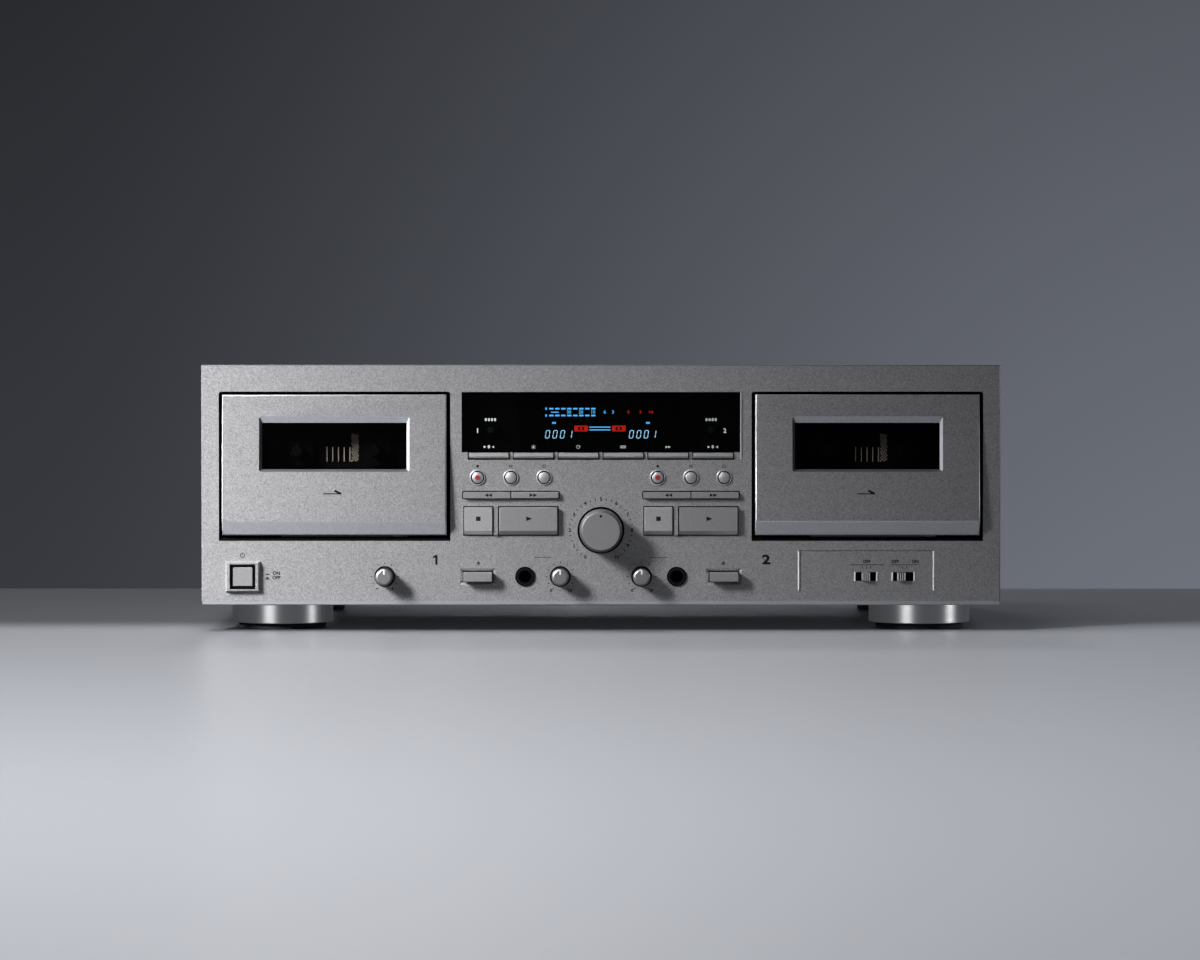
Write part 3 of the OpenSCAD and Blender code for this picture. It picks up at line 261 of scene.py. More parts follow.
PANEL = Finish("silver_paint", "panel_silver", (0.465, 0.459, 0.472), 0.75, 0.39, size=0.5, tone=1.4,
               relief=0.018)
DOOR = Finish("door_paint", "panel_silver", (0.392, 0.387, 0.398), 0.75, 0.39, size=0.5, tone=1.4,
              relief=0.018)
KEY = Finish("key_paint", "key_silver", (0.445, 0.440, 0.453), 0.75, 0.38, size=0.6, tone=0.3)
KNOB = Finish("knob_metal", "knob_silver", (0.54, 0.534, 0.546), 0.85, 0.36, size=0.5, tone=0.3)
SMALL_KNOB = Finish("small_knob_metal", "knob_silver", (0.42, 0.415, 0.425), 0.85, 0.36, size=0.5, tone=0.3)
# Near-black painted shade for the sideways faces of the small knobs, standing in for the shaded gap round
# them.
KNOB_RIM_SHADE = Finish("knob_rim", "knob_silver", (0.02, 0.02, 0.021), 0.3, 0.45, size=0.5, tone=0.2, shine=0.1)
# Dark painted shade for the chamfer and sides of the recording level knob, which would otherwise catch the
# key light.
KNOB_EDGE_SHADE = Finish("knob_edge", "knob_silver", (0.14, 0.139, 0.142), 0.7, 0.55, size=0.5, tone=0.2,
                   relief=0.0)
DOME = Finish("dome_metal", "key_silver", (0.52, 0.515, 0.53), 0.75, 0.42, size=0.5, tone=0.2)
# A lighter copy of the key finish, given to the stop key.
STOP = Finish("stop_paint", "key_silver", (0.585, 0.58, 0.595), 0.75, 0.38, size=0.6, tone=0.3)
# Black of the moulded deck wells; where it is laid on the panel's opening walls, the door sills, the knob
# recess and the switch slots it is painted shade.
WELL_BLACK_AND_SHADE = Finish("well_plastic", "well_black", (0.003, 0.003, 0.003), 0.0, 0.6, size=0.4, shine=0.06)
COVER = Finish("cover_paint", "cover_black", (0.020, 0.020, 0.021), 0.0, 0.48, size=1.1, tone=0.5,
               relief=0.06)
ZINC = Finish("zinc_plate", "zinc_steel", (0.50, 0.51, 0.50), 0.9, 0.36, size=5.0, tone=0.16)
# The blue in the foot colour is a painted reflection of the blue-grey floor; the turned aluminium itself is
# neutral.
FOOT = Finish("turned_aluminium", "foot_aluminium", (0.31, 0.34, 0.385), 0.75, 0.44, Pattern.TURNED, 0.2,
              0.05, relief=0.0, brushed=0.8)
PAD = Finish("rubber_pad", "pad_rubber", (0.012, 0.012, 0.012), 0.0, 0.8, size=0.5)
SMOKED = Finish("smoked_glass", "display_black", (0.001, 0.001, 0.001), 0.0, 0.06, tone=0.0, patch=0.0,
                relief=0.0, see_through=0.6, shine=0.03)
TUBE = Finish("tube_face", "tube_glass", (0.001, 0.001, 0.001), 0.0, 0.5, size=0.3, shine=0.02)
SOCKET = Finish("socket_plastic", "socket_black", (0.003, 0.003, 0.003), 0.0, 0.5, size=0.4, shine=0.04)
PLATE = Finish("transport_plate", "transport_grey", (0.003, 0.003, 0.003), 0.0, 0.7, size=0.8, shine=0.05)
BOARD = Finish("board_laminate", "board_green", (0.008, 0.022, 0.010), 0.0, 0.5, size=0.9, tone=0.3,
               shine=0.1)
CORE = Finish("core_sheets", "core_iron", (0.10, 0.095, 0.09), 0.4, 0.5, Pattern.TURNED, 0.5, 0.4)
SCREW = Finish("screw_oxide", "screw_black", (0.035, 0.035, 0.036), 0.8, 0.35, size=0.3)
CAP = Finish("cap_plastic", "cap_grey", (0.40, 0.395, 0.39), 0.0, 0.45, size=0.3)
GLASS = Finish("pane_glass", "door_glass", (0.001, 0.001, 0.001), 0.0, 0.05, tone=0.0, patch=0.0, relief=0.0,
               see_through=0.3, shine=0.03)
HOLDER = Finish("holder_plastic", "holder_black", (0.003, 0.003, 0.003), 0.0, 0.6, size=0.4, shine=0.06)
STEEL = Finish("steel_polish", "polished_steel", (0.66, 0.65, 0.64), 1.0, 0.2, Pattern.TURNED, 0.15, 0.1)
PRINT = Finish("dark_print", "panel_silver", (0.010, 0.010, 0.011), 0.0, 0.6, size=0.2, shine=0.08)
LIGHT_PRINT = Finish("light_print", "display_black", (0.55, 0.57, 0.58), 0.0, 0.5, size=0.2)
POINTER = Finish("pointer_paint", "knob_silver", (0.82, 0.82, 0.80), 0.0, 0.4, size=0.2)
RED_DOT = Finish("red_paint", "key_silver", (0.24, 0.02, 0.022), 0.0, 0.4, size=0.2)
RING = Finish("ring_nickel", "socket_black", (0.20, 0.197, 0.195), 1.0, 0.3, Pattern.TURNED, 0.15, 0.2)
# Paler, bluish silver for the lip, the bead by the display and the rims of the round keys: a painted sheen of
# the floor's reflection.
LIP_SHEEN = Finish("lip_metal", "panel_silver", (0.47, 0.485, 0.52), 0.45, 0.3, size=0.4, tone=0.06, relief=0.0)
# Near-white painted highlight for the beads beside the switch plate and its slots.
BEAD_HIGHLIGHT = Finish("bead_paint", "panel_silver", (0.86, 0.87, 0.90), 0.25, 0.38, size=0.4, tone=0.06, relief=0.0)
# Near-white painted highlight for the door bevels that face the key light.
BEVEL = Finish("bevel_metal", "panel_silver", (0.80, 0.82, 0.86), 0.3, 0.3, size=0.4, tone=0.1, relief=0.0)
SHADE = Finish("shade_paint", "panel_silver", (0.13, 0.13, 0.135), 0.6, 0.4, size=0.6, tone=0.3, relief=0.0)
# Bluish painted reflection of the floor for the down-facing faces of the doors.
BAND_REFLECTION = Finish("band_paint", "panel_silver", (0.41, 0.428, 0.46), 0.3, 0.4, size=0.6, tone=0.5, relief=0.018)
RIB = Finish("rib_brass", "transport_grey", (0.92, 0.80, 0.62), 0.0, 0.5, size=0.3, tone=0.3)
FELT = Finish("strip_felt", "transport_grey", (0.06, 0.056, 0.045), 0.0, 0.8, size=0.9, tone=1.2, patch=0.2,
              relief=0.1)
BLUE_GLOW = Finish("blue_segments", "tube_glass", (0.08, 0.47, 1.0), 0.0, 0.5, size=0.12, tone=0.2, glow=6.0)
PALE_GLOW = Finish("pale_segments", "tube_glass", (0.36, 0.70, 1.0), 0.0, 0.5, size=0.12, tone=0.2, glow=7.0)
RED_GLOW = Finish("red_segments", "tube_glass", (1.0, 0.03, 0.02), 0.0, 0.5, size=0.12, tone=0.2, glow=2.2)

BODY_OF = {node: body for body, nodes in frame["record"]["behaviour"]["bodies"].items() for node in nodes}


class Bench:
    """Hand tools of the modeller, each a few bpy.ops calls."""

    weld = 2e-6
    flat_angle = math.radians(0.5)
    bevel_angle = math.radians(32.0)
    smooth_angle = math.radians(40.0)

    @staticmethod
    def clear() -> None:
        """Leave edit mode and deselect everything."""
        if bpy.context.mode != "OBJECT":
            bpy.ops.object.mode_set(mode="OBJECT")
        bpy.ops.object.select_all(action="DESELECT")

    @classmethod
    def only(cls, piece: Piece) -> None:
        """Make one piece the only selected and the active one."""
        cls.clear()
        piece.select_set(True)
        bpy.context.view_layer.objects.active = piece

    @classmethod
    def blank(cls, name: str) -> Piece:
        """Start an empty mesh at the origin and go into edit mode on it.

        Args:
            name: Name of the new piece.

        Returns:
            The new piece, in edit mode.
        """
        cls.clear()
        bpy.ops.object.add(type="MESH", location=(0.0, 0.0, 0.0))
        piece = bpy.context.active_object
        piece.name = piece.data.name = name
        bpy.ops.object.mode_set(mode="EDIT")
        bpy.ops.mesh.select_mode(type="VERT")
        return piece

    @staticmethod
    def apply(piece: Piece, kind: str, **values: object) -> None:
        """Add a modifier to the active piece, set it and apply it.

        Args:
            piece: The active piece.
            kind: Type of the modifier.
            values: Properties of the modifier.
        """
        modifier = piece.modifiers.new(kind.lower(), kind)
        for key, value in values.items():
            setattr(modifier, key, value)
        bpy.ops.object.modifier_apply(modifier=modifier.name)

    @classmethod
    def bevel(cls, piece: Piece, width: float, steps: int = 2) -> None:
        """Round the sharp edges of a piece and settle its normals.

        Args:
            piece: The piece to finish.
            width: Width of the bevel in millimetres.
            steps: Segments of the bevel.
        """
        cls.only(piece)
        if width > 0.0:
            cls.apply(piece, "BEVEL", width=width * MM, segments=steps, limit_method="ANGLE",
                      angle_limit=cls.bevel_angle, use_clamp_overlap=True, miter_outer="MITER_SHARP")
        bpy.ops.object.shade_smooth_by_angle(angle=cls.smooth_angle)
        cls.apply(piece, "WEIGHTED_NORMAL", keep_sharp=True)

    @staticmethod
    def dress(piece: Piece, finish: Finish, body: str) -> Piece:
        """Give a new piece its finish and the body that carries it.

        Args:
            piece: The piece.
            finish: Its finish.
            body: Name of the body that it rides on.

        Returns:
            The same piece.
        """
        piece.data.materials.clear()
        piece.data.materials.append(finish.material())
        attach(piece, body)
        LOG.info("%s rides on %s", piece.name, body)
        return piece

    @classmethod
    def soften(cls, node: str, finish: Finish, width: float = 0.2, steps: int = 2) -> Piece:
        """Stand a softened copy in for a node of the frame.

        Args:
            node: Name of the node.
            finish: Finish of the copy.
            width: Width of its bevels in millimetres.
            steps: Segments of its bevels.

        Returns:
            The copy, which replaces the node.
        """
        piece = bpy.data.objects.new(f"{node}_skin", frame["nodes"][node].data.copy())
        piece.data.name = piece.name
        bpy.context.scene.collection.objects.link(piece)
        cls.only(piece)
        bpy.ops.mesh.customdata_custom_splitnormals_clear()
        bpy.ops.object.mode_set(mode="EDIT")
        bpy.ops.mesh.select_all(action="SELECT")
        bpy.ops.mesh.remove_doubles(threshold=cls.weld)
        bpy.ops.mesh.mark_sharp(clear=True)
        bpy.ops.mesh.dissolve_limited(angle_limit=cls.flat_angle)
        bpy.ops.object.mode_set(mode="OBJECT")
        cls.bevel(piece, width, steps)
        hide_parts(node)
        return cls.dress(piece, finish, BODY_OF[node])

    @classmethod
    def round_edges(cls, piece: Piece, width: float, steps: int, chosen: Test) -> None:
        """Round some edges of a piece.

        Args:
            piece: The piece.
            width: Width of the bevels in millimetres.
            steps: Segments of the bevels.
            chosen: Test of an edge by its two ends in millimetres.
        """
        cls.only(piece)
        bpy.ops.object.mode_set(mode="EDIT")
        bpy.ops.mesh.select_mode(type="EDGE")
        bpy.ops.mesh.select_all(action="DESELECT")
        bpy.ops.object.mode_set(mode="OBJECT")
        points = piece.data.vertices
        for edge in piece.data.edges:
            edge.select = chosen(*(points[i].co / MM for i in edge.vertices))
        bpy.ops.object.mode_set(mode="EDIT")
        bpy.ops.mesh.bevel(offset=width * MM, segments=steps, affect="EDGES", clamp_overlap=False)
        bpy.ops.object.mode_set(mode="OBJECT")
        cls.bevel(piece, 0.0)

    @staticmethod
    def accent(piece: Piece, finish: Finish, chosen: Test) -> None:
        """Give some faces of a piece a second finish.

        Args:
            piece: The piece.
            finish: The second finish.
            chosen: Test of a face by its normal and its middle in millimetres.
        """
        piece.data.materials.append(finish.material())
        for face in piece.data.polygons:
            if chosen(face.normal, face.center / MM):
                face.material_index = len(piece.data.materials) - 1

    @staticmethod
    def paint(node: str, finish: Finish) -> None:
        """Give a node that stays as it is a finish of its own."""
        for slot in frame["nodes"][node].material_slots:
            slot.material = finish.material()

    @classmethod
    def lathe(cls, name: str, profile: Profile, spots: list[Point], finish: Finish,
              upright: bool = False, sides: int = 48) -> Piece:
        """Turn a closed profile round an axis at one or more spots of the cabinet.

        Args:
            name: Name of the piece.
            profile: Points of radius and place along the axis in millimetres, as a closed loop.
            spots: Points on the floor, or on the panel, that the axes go through.
            finish: Finish of the piece.
            upright: Whether the axis stands up, rather than lying level to the back.
            sides: Sides of the turned form.

        Returns:
            The new piece.
        """
        piece = cls.blank(name)
        turn = (0.0, 0.0, 0.0) if upright else (-math.pi / 2, 0.0, 0.0)
        for spot in spots:
            bpy.ops.mesh.select_all(action="DESELECT")
            at = Vector(spot)
            step = Vector((0.0, 0.0, 1.0)) if upright else Vector((0.0, 1.0, 0.0))
            radius, along = profile[0]
            bpy.ops.mesh.primitive_circle_add(vertices=sides, radius=radius * MM, rotation=turn,
                                              location=(at + step * along) * MM)
            for wide, far in [*profile[1:], profile[0]]:
                bpy.ops.mesh.extrude_region_move()
                centre = (at + step * along) * MM
                bpy.ops.transform.resize(value=(wide / radius,) * 3, center_override=centre)
                bpy.ops.transform.translate(value=step * (far - along) * MM)
                radius, along = wide, far
        bpy.ops.mesh.select_all(action="SELECT")
        bpy.ops.mesh.remove_doubles(threshold=cls.weld)
        bpy.ops.mesh.normals_make_consistent(inside=False)
        bpy.ops.object.mode_set(mode="OBJECT")
        cls.bevel(piece, 0.0)
        return cls.dress(piece, finish, CABINET)


@dataclass
class Stencil:
    """Flat marks cut from primitives in one edit session, then given a little thickness."""

    name: str
    finish: Finish
    body: str
    y: float
    thick: float = 0.03
    bold: float = 0.09
    edge: float = 0.0
    wide: float = 1.0
    capital: float = 0.70
    words: list[tuple[str, float, float, float]] = field(default_factory=list)
    piece: Piece | None = None

    def __enter__(self) -> "Stencil":
        """Open the edit session."""
        self.piece = Bench.blank(self.name)
        return self

    def rect(self, x: float, z: float, w: float, h: float, turn: float = 0.0) -> None:
        """Lay a rectangle.

        Args:
            x: Centre across, in millimetres.
            z: Centre upwards.
            w: Width.
            h: Height.
            turn: Turn against the clock in degrees.
        """
        at = (x * MM, self.y * MM, z * MM)
        bpy.ops.mesh.primitive_plane_add(size=MM, location=at, rotation=UPRIGHT)
        self._shape(at, w, h, turn)

    @staticmethod
    def _shape(at: Point, w: float, h: float, turn: float) -> None:
        """Stretch and turn the mark that was laid last.

        Args:
            at: Its middle in metres.
            w: Stretch across.
            h: Stretch upwards.
            turn: Turn against the clock in degrees.
        """
        bpy.ops.transform.resize(value=(w, 1.0, h), center_override=at)
        if turn:
            bpy.ops.transform.rotate(value=math.radians(turn), orient_axis="Y", center_override=at)

    def dot(self, x: float, z: float, r: float, sides: int = 24) -> None:
        """Lay a round dot of radius r at x, z."""
        bpy.ops.mesh.primitive_circle_add(vertices=sides, radius=r * MM, fill_type="NGON",
                                          location=(x * MM, self.y * MM, z * MM), rotation=UPRIGHT)

    def triangle(self, x: float, z: float, reach: float, base: float, turn: float = 0.0) -> None:
        """Lay a triangle that points up before its turn.

        Args:
            x: Middle across, in millimetres.
            z: Middle upwards.
            reach: Length from base to tip.
            base: Length of the base.
            turn: Turn against the clock in degrees.
        """
        at = (x * MM, self.y * MM, z * MM)
        bpy.ops.mesh.primitive_circle_add(vertices=3, radius=MM, fill_type="NGON", location=at,
                                          rotation=UPRIGHT)
        self._shape(at, base / math.sqrt(3.0), reach / 1.5, turn)

    def ring(self, x: float, z: float, r: float, line: float, start: float = 0.0, end: float = 360.0,
             steps: int = 24) -> None:
        """Lay a ring or an arc of short strokes.

        Args:
            x: Centre across, in millimetres.
            z: Centre upwards.
            r: Radius.
            line: Width of the stroke.
            start: First angle in degrees.
            end: Last angle.
            steps: Number of strokes.
        """
        pitch = (end - start) / steps
        long = 2.0 * (r + line / 2) * math.sin(math.radians(pitch) / 2)
        for i in range(steps):
            angle = start + (i + 0.5) * pitch
            self.rect(x + r * math.cos(math.radians(angle)), z + r * math.sin(math.radians(angle)),
                      line, long, angle)

    def write(self, text: str, x: float, z: float, h: float) -> None:
        """Note numbers or ON and OFF to be set at x, z with capitals h high."""
        self.words.append((text, x, z, h))

    def __exit__(self, *_: object) -> None:
        """Thicken the marks, set the noted numbers and dress the piece."""
        bpy.ops.mesh.select_all(action="SELECT")
        bpy.ops.mesh.extrude_region_move(TRANSFORM_OT_translate={"value": (0.0, -self.thick * MM, 0.0)})
        bpy.ops.mesh.select_all(action="SELECT")
        bpy.ops.mesh.normals_make_consistent(inside=False)
        made = [self._set_word(*word) for word in self.words]
        Bench.only(self.piece)
        for word in made:
            word.select_set(True)
        if made:
            bpy.ops.object.join()
        bpy.ops.object.shade_flat()
        if self.edge > 0.0:
            Bench.bevel(self.piece, self.edge, 1)
        Bench.dress(self.piece, self.finish, self.body)

    def _set_word(self, text: str, x: float, z: float, h: float) -> Piece:
        """Set one noted word at x, z with capitals h high, and return it as a mesh."""
        Bench.clear()
        place = (x * MM, (self.y - self.thick / 2) * MM, z * MM)
        bpy.ops.object.text_add(location=place, rotation=UPRIGHT)
        word = bpy.context.active_object
        letters = word.data
        letters.body = text
        letters.size = h / self.capital * MM
        letters.align_x = letters.align_y = "CENTER"
        letters.extrude = self.thick / 2 * MM
        letters.resolution_u = 3
        letters.offset = self.bold * MM
        word.scale.x = self.wide
        bpy.ops.object.convert(target="MESH")
        bpy.ops.object.transform_apply(location=True, rotation=True, scale=True)
        return bpy.context.active_object


def front_of(node: str) -> float:
    """Return the foremost Y of a node in millimetres."""
    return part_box(node)[0].y / MM


def dial(stencil: Stencil, x: float, z: float, r: float, angles: list[float], long: float,
         line: float) -> None:
    """Lay ticks round a knob.

    Args:
        stencil: The stencil that takes the ticks.
        x: Centre across, in millimetres.
        z: Centre upwards.
        r: Radius of the middle of the ticks.
        angles: Degrees clockwise from the top.
        long: Length of a tick.
        line: Width of a tick.
    """
    for angle in angles:
        a = math.radians(angle)
        stencil.rect(x + r * math.sin(a), z + r * math.cos(a), line, long, -angle)


@dataclass
class FrontPanel:
    """Silver front panel with its prints."""

    rec_z: float = 55.0
    number_r: float = 16.9
    number_h: float = 1.95
    first_angle: float = -150.0
    line: float = 0.36
    knob_tick_r: float = 7.6
    pitch_tick_r: float = 7.3
    small_knobs: tuple[float, ...] = (-117.7, -22.1, 22.1)
    plate_y: float = FACE_Y + 0.5
    plate_z: float = 32.95
    plate_sides: tuple[float, ...] = (107.75, 181.25)
    slots: tuple[float, ...] = (144.3, 164.7)
    slot_half: float = 6.0
    deck_x: float = 90.0
    deck_z: float = 38.8
    eject_x: float = 66.7
    eject_z: float = 37.2
    key_sign_z: float = 89.9
    key_pitch: float = 18.1
    power_x: float = -195.2
    power_z: float = 41.4
    lip_inset: float = 0.8
    lip_top: float = 2.0
    lip_steps: tuple[tuple[float, float], ...] = ((0.15, 0.35), (0.4, 1.5), (0.75, 0.4))
    bead_x: float = 76.3
    bead_z: float = 112.0
    power_word_x: float = -176.8
    power_sign_x: float = -181.6
    switch_word_z: float = 37.9
    switch_line_z: float = 36.2
    switch_tick_z: float = 34.9

    def build(self) -> None:
        """Build the panel and print its marks."""
        panel = Bench.soften("front_panel", PANEL, 0.28)
        # The silver walls of the openings and the sills below the doors get black painted shade.
        Bench.accent(panel, WELL_BLACK_AND_SHADE, self._is_inner)
        # The fine bevels at the top and right edges get painted shade.
        Bench.accent(panel, SHADE, self._is_far_edge)
        self._lip()
        self._beads()
        with Stencil("panel_print", PRINT, CABINET, FACE_Y) as marks:
            self._level_dial(marks)
            self._small_dials(marks)
            self._deck_marks(marks)
            self._power_marks(marks)
        with Stencil("deck_number", PRINT, CABINET, FACE_Y, bold=0.3, wide=1.25) as marks:
            marks.write("2", self.deck_x, self.deck_z, 4.9)
        self._switch_marks()

    @staticmethod
    def _is_inner(normal: Vector, middle: Vector) -> bool:
        """Tell whether a face of the panel is a wall of an opening or the sill of a door; these silver faces
        get black painted shade.
        """
        depth, side, height = middle.y - FACE_Y, abs(middle.x), middle.z
        wall = abs(normal.y) < 0.3 and depth > -2.4 and side < 214.0 and 17.5 < height < 142.0
        sill = normal.z > 0.2 and depth > 0.1 and side > 80.0 and 48.0 < height < 56.0
        return wall or sill

    @staticmethod
    def _is_far_edge(normal: Vector, middle: Vector) -> bool:
        """Tell whether a face of the panel is its fine bevel at the top or at the right; these faces get
        painted shade.
        """
        top = normal.z > 0.25 and middle.z > 143.0
        return normal.y < -0.2 and (top or (normal.x > 0.25 and middle.x > 215.5))

    def _lip(self) -> None:
        """Lay a bright strip over the chamfer along the lower edge of the panel, a painted highlight of the
        floor's reflection.
        """
        low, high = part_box("front_panel")
        piece = Bench.blank("panel_lip")
        width = (high.x - low.x) / MM - self.lip_inset
        top = low.z + self.lip_top * MM
        bpy.ops.mesh.primitive_plane_add(size=MM, location=(0.0, FACE_Y * MM, top))
        bpy.ops.transform.resize(value=(width, 0.02, 1.0), center_override=(0.0, FACE_Y * MM, 0.0))
        for back, down in self.lip_steps:
            bpy.ops.mesh.extrude_region_move(TRANSFORM_OT_translate={"value": (0.0, back * MM, -down * MM)})
        bpy.ops.mesh.select_all(action="SELECT")
        bpy.ops.mesh.normals_make_consistent(inside=False)
        bpy.ops.object.mode_set(mode="OBJECT")
        Bench.bevel(piece, 0.0)
        Bench.dress(piece, LIP_SHEEN, CABINET)

    def _beads(self) -> None:
        """Lay the slim beads beside the display, the switch plate and the slots of the switches; they carry
        painted highlights where those edges catch the light.
        """
        with Stencil("panel_beads", LIP_SHEEN, CABINET, FACE_Y, 0.6, edge=0.35) as marks:
            marks.rect(self.bead_x, self.bead_z, 0.9, 36.6)
        with Stencil("plate_beads", BEAD_HIGHLIGHT, CABINET, self.plate_y, 0.9, edge=0.45) as marks:
            for x in self.plate_sides:
                marks.rect(x, self.plate_z, 1.05, 22.0)
        with Stencil("slot_beads", BEAD_HIGHLIGHT, CABINET, self.plate_y, 0.5, edge=0.35) as marks:
            for x in self.slots:
                for side in (-1, 1):
                    marks.rect(x + self.slot_half * side, ROW_Z, 0.85, 5.1)

    def _level_dial(self, marks: Stencil) -> None:
        """Print numbers from 0 to 10 and fine ticks round the recording level knob."""
        for number in range(11):
            angle = math.radians(self.first_angle + 30.0 * number)
            marks.write(str(number), self.number_r * math.sin(angle),
                        self.rec_z + self.number_r * math.cos(angle), self.number_h)
        fine = [self.first_angle + 10.0 * i for i in range(31) if i % 3]
        dial(marks, 0.0, self.rec_z, self.number_r, fine, 1.3, self.line)

    def _small_dials(self, marks: Stencil) -> None:
        """Print ticks round the small knobs and what stands below them."""
        for x in self.small_knobs[1:]:
            angles = [self.first_angle + 30.0 * i for i in range(11)]
            dial(marks, x, ROW_Z, self.knob_tick_r, angles, 1.0, self.line)
            for text, shift in (("0", -5.0), ("10", 5.2)):
                marks.write(text, x + shift, ROW_Z - self.knob_tick_r, 1.6)
        x = self.small_knobs[0]
        dial(marks, x, ROW_Z, self.pitch_tick_r, [-120.0 + 30.0 * i for i in range(9)], 1.0, 0.34)
        for side in (-1, 1):
            marks.rect(x + 4.25 * side, ROW_Z - 6.6, 1.4, 0.42)
        marks.rect(x + 4.25, ROW_Z - 6.6, 0.42, 1.4)
        for side in (-1, 1):
            marks.rect(side * 31.7, 40.2, 9.5, 0.26)

    def _deck_marks(self, marks: Stencil) -> None:
        """Print the deck numbers, the eject signs and the signs above the round keys."""
        marks.rect(0.4 - self.deck_x, self.deck_z, 1.2, 5.2)
        marks.rect(-0.5 - self.deck_x, self.deck_z + 1.9, 2.0, 0.95, 35.0)
        for side, x in zip((-1, 1), KEYS.values()):
            marks.triangle(side * self.eject_x, self.eject_z, 1.5, 2.0)
            marks.rect(side * self.eject_x, self.eject_z - 1.1, 2.0, 0.35)
            marks.dot(x - self.key_pitch, self.key_sign_z, 0.75)
            for bar in (-1, 1):
                marks.rect(x + 0.55 * bar, self.key_sign_z, 0.5, 1.6)
            marks.ring(x + self.key_pitch, self.key_sign_z, 0.75, 0.32, steps=16)

    def _power_marks(self, marks: Stencil) -> None:
        """Print the marks of the two places of the power key."""
        for z, text, drop in ((31.6, "ON", 0.5), (29.1, "OFF", -0.1)):
            marks.write(text, self.power_word_x, z, 1.75)
            marks.rect(self.power_sign_x, z - 0.7, 2.6, self.line)
            marks.rect(self.power_sign_x, z - 0.2 - drop / 2, 1.2, 0.9 - drop)
        marks.ring(self.power_x, self.power_z, 1.15, self.line, 125.0, 415.0, 18)
        marks.rect(self.power_x, self.power_z + 0.9, self.line, 1.4)

    def _switch_marks(self) -> None:
        """Print the ticks, brackets and words of the two slide switches."""
        with Stencil("switch_print", PRINT, CABINET, self.plate_y) as marks:
            for x in (142.5, 144.8, 147.0, 164.1, 166.4):
                marks.rect(x, self.switch_tick_z, self.line, 1.5)
            for word, x in (("OFF", 144.8), ("OFF", 160.4), ("ON", 171.2)):
                marks.write(word, x, self.switch_word_z, 1.65)
            for x, reach in ((145.0, 18.6), (165.4, 14.4)):
                marks.rect(x, self.switch_line_z, reach, 0.3)


@dataclass
class CassetteDoor:
    """One door with its pane, its holder and its direction sign."""

    deck: int
    arrow_z: float = 75.0
    back_y: float = -105.0
    arrow_long: float = 9.7
    specks: int = 40
    edge: float = 0.8
    half: float = 61.0
    knee_z: float = 60.0
    knee_out: float = 5.5
    top_z: float = 128.9
    top_out: float = 1.0
    window_half: float = 45.0
    window_low: float = 78.0
    window_high: float = 118.0
    rib_pitch: float = 3.13
    strip_x: float = 10.15

    def build(self) -> None:
        """Build the door and lay the sign on its sloping face."""
        n = self.deck
        door = Bench.soften(f"door_panel_{n}", DOOR, 0.0)
        Bench.round_edges(door, self.edge, 3, self._is_outline)
        # The left-facing bevels get a painted highlight.
        Bench.accent(door, BEVEL, self._is_bevel)
        # The down-facing faces get a painted reflection of the floor.
        Bench.accent(door, BAND_REFLECTION, self._is_band)
        # The left and lower bevels of the window get painted shade.
        Bench.accent(door, SHADE, self._is_shade)
        Bench.soften(f"door_window_{n}", GLASS, 0.1)
        Bench.soften(f"cassette_holder_{n}", HOLDER, 0.12)
        self._arrow()
        self._ribs()

    def _is_outline(self, one: Vector, other: Vector) -> bool:
        """Tell whether an edge of the door runs along the left, right or upper side of its face."""
        if max(one.y, other.y) > FACE_Y - 0.5:
            return False
        side = min(abs(end.x - DECKS[self.deck]) for end in (one, other)) > self.half - 0.05
        return side or min(one.z, other.z) > self.top_z - 0.1

    @staticmethod
    def _is_band(normal: Vector, middle: Vector) -> bool:
        """Tell whether a face of the door is the band below its knee or hangs over the window; these
        down-facing faces get a bluish painted reflection of the floor.
        """
        return normal.y < -0.15 and normal.z < -0.2 and not 62.0 < middle.z < 80.0

    @staticmethod
    def _is_bevel(normal: Vector, _: Vector) -> bool:
        """Tell whether a face of the door is a bevel that looks left, toward the key light; these faces get a
        near-white painted highlight.
        """
        return normal.y < -0.15 and normal.x < -0.25

    def _is_shade(self, normal: Vector, middle: Vector) -> bool:
        """Tell whether a face of the door is the left or the lower bevel of the window; these faces get
        painted shade.
        """
        across = abs(middle.x - DECKS[self.deck]) < self.window_half
        within = across and self.window_low < middle.z < self.window_high
        return within and normal.y < -0.15 and max(normal.z, normal.x) > 0.3

    def _ribs(self) -> None:
        """Lay the pale ribs and the speckled strip that show through the pane."""
        x = DECKS[self.deck]
        with Stencil(f"deck_ribs_{self.deck}", RIB, CABINET, self.back_y - 0.9) as marks:
            for i in range(-2, 3):
                marks.rect(x + 1.0 + self.rib_pitch * i, 96.0, 0.42 + 0.07 * i, 7.9)
            for i in range(self.specks):
                shift, rise = 3.7 * (0.618 * i % 1.0), 14.8 * i / self.specks
                marks.rect(x + 8.3 + shift, 92.3 + rise, 0.75, 0.65, 70.0 * i)
        with Stencil(f"deck_strip_{self.deck}", FELT, CABINET, self.back_y - 0.45) as marks:
            marks.rect(x + self.strip_x, 99.7, 4.2, 15.4)

    def _arrow(self) -> None:
        """Lay a half arrow on the slope of the door."""
        x = DECKS[self.deck] - 0.95
        y = self._face_y(self.arrow_z)
        with Stencil(f"door_arrow_{self.deck}", PRINT, f"door_{self.deck}", y, 0.12) as marks:
            marks.rect(x, self.arrow_z, self.arrow_long, 0.55)
            marks.rect(x + 3.0, self.arrow_z + 0.85, 4.0, 1.15, -27.0)

    def _face_y(self, z: float) -> float:
        """Return the Y of the door face at height z, a little inside it."""
        share = (z - self.knee_z) / (self.top_z - self.knee_z)
        return FACE_Y - self.knee_out + share * (self.knee_out - self.top_out) + 0.05


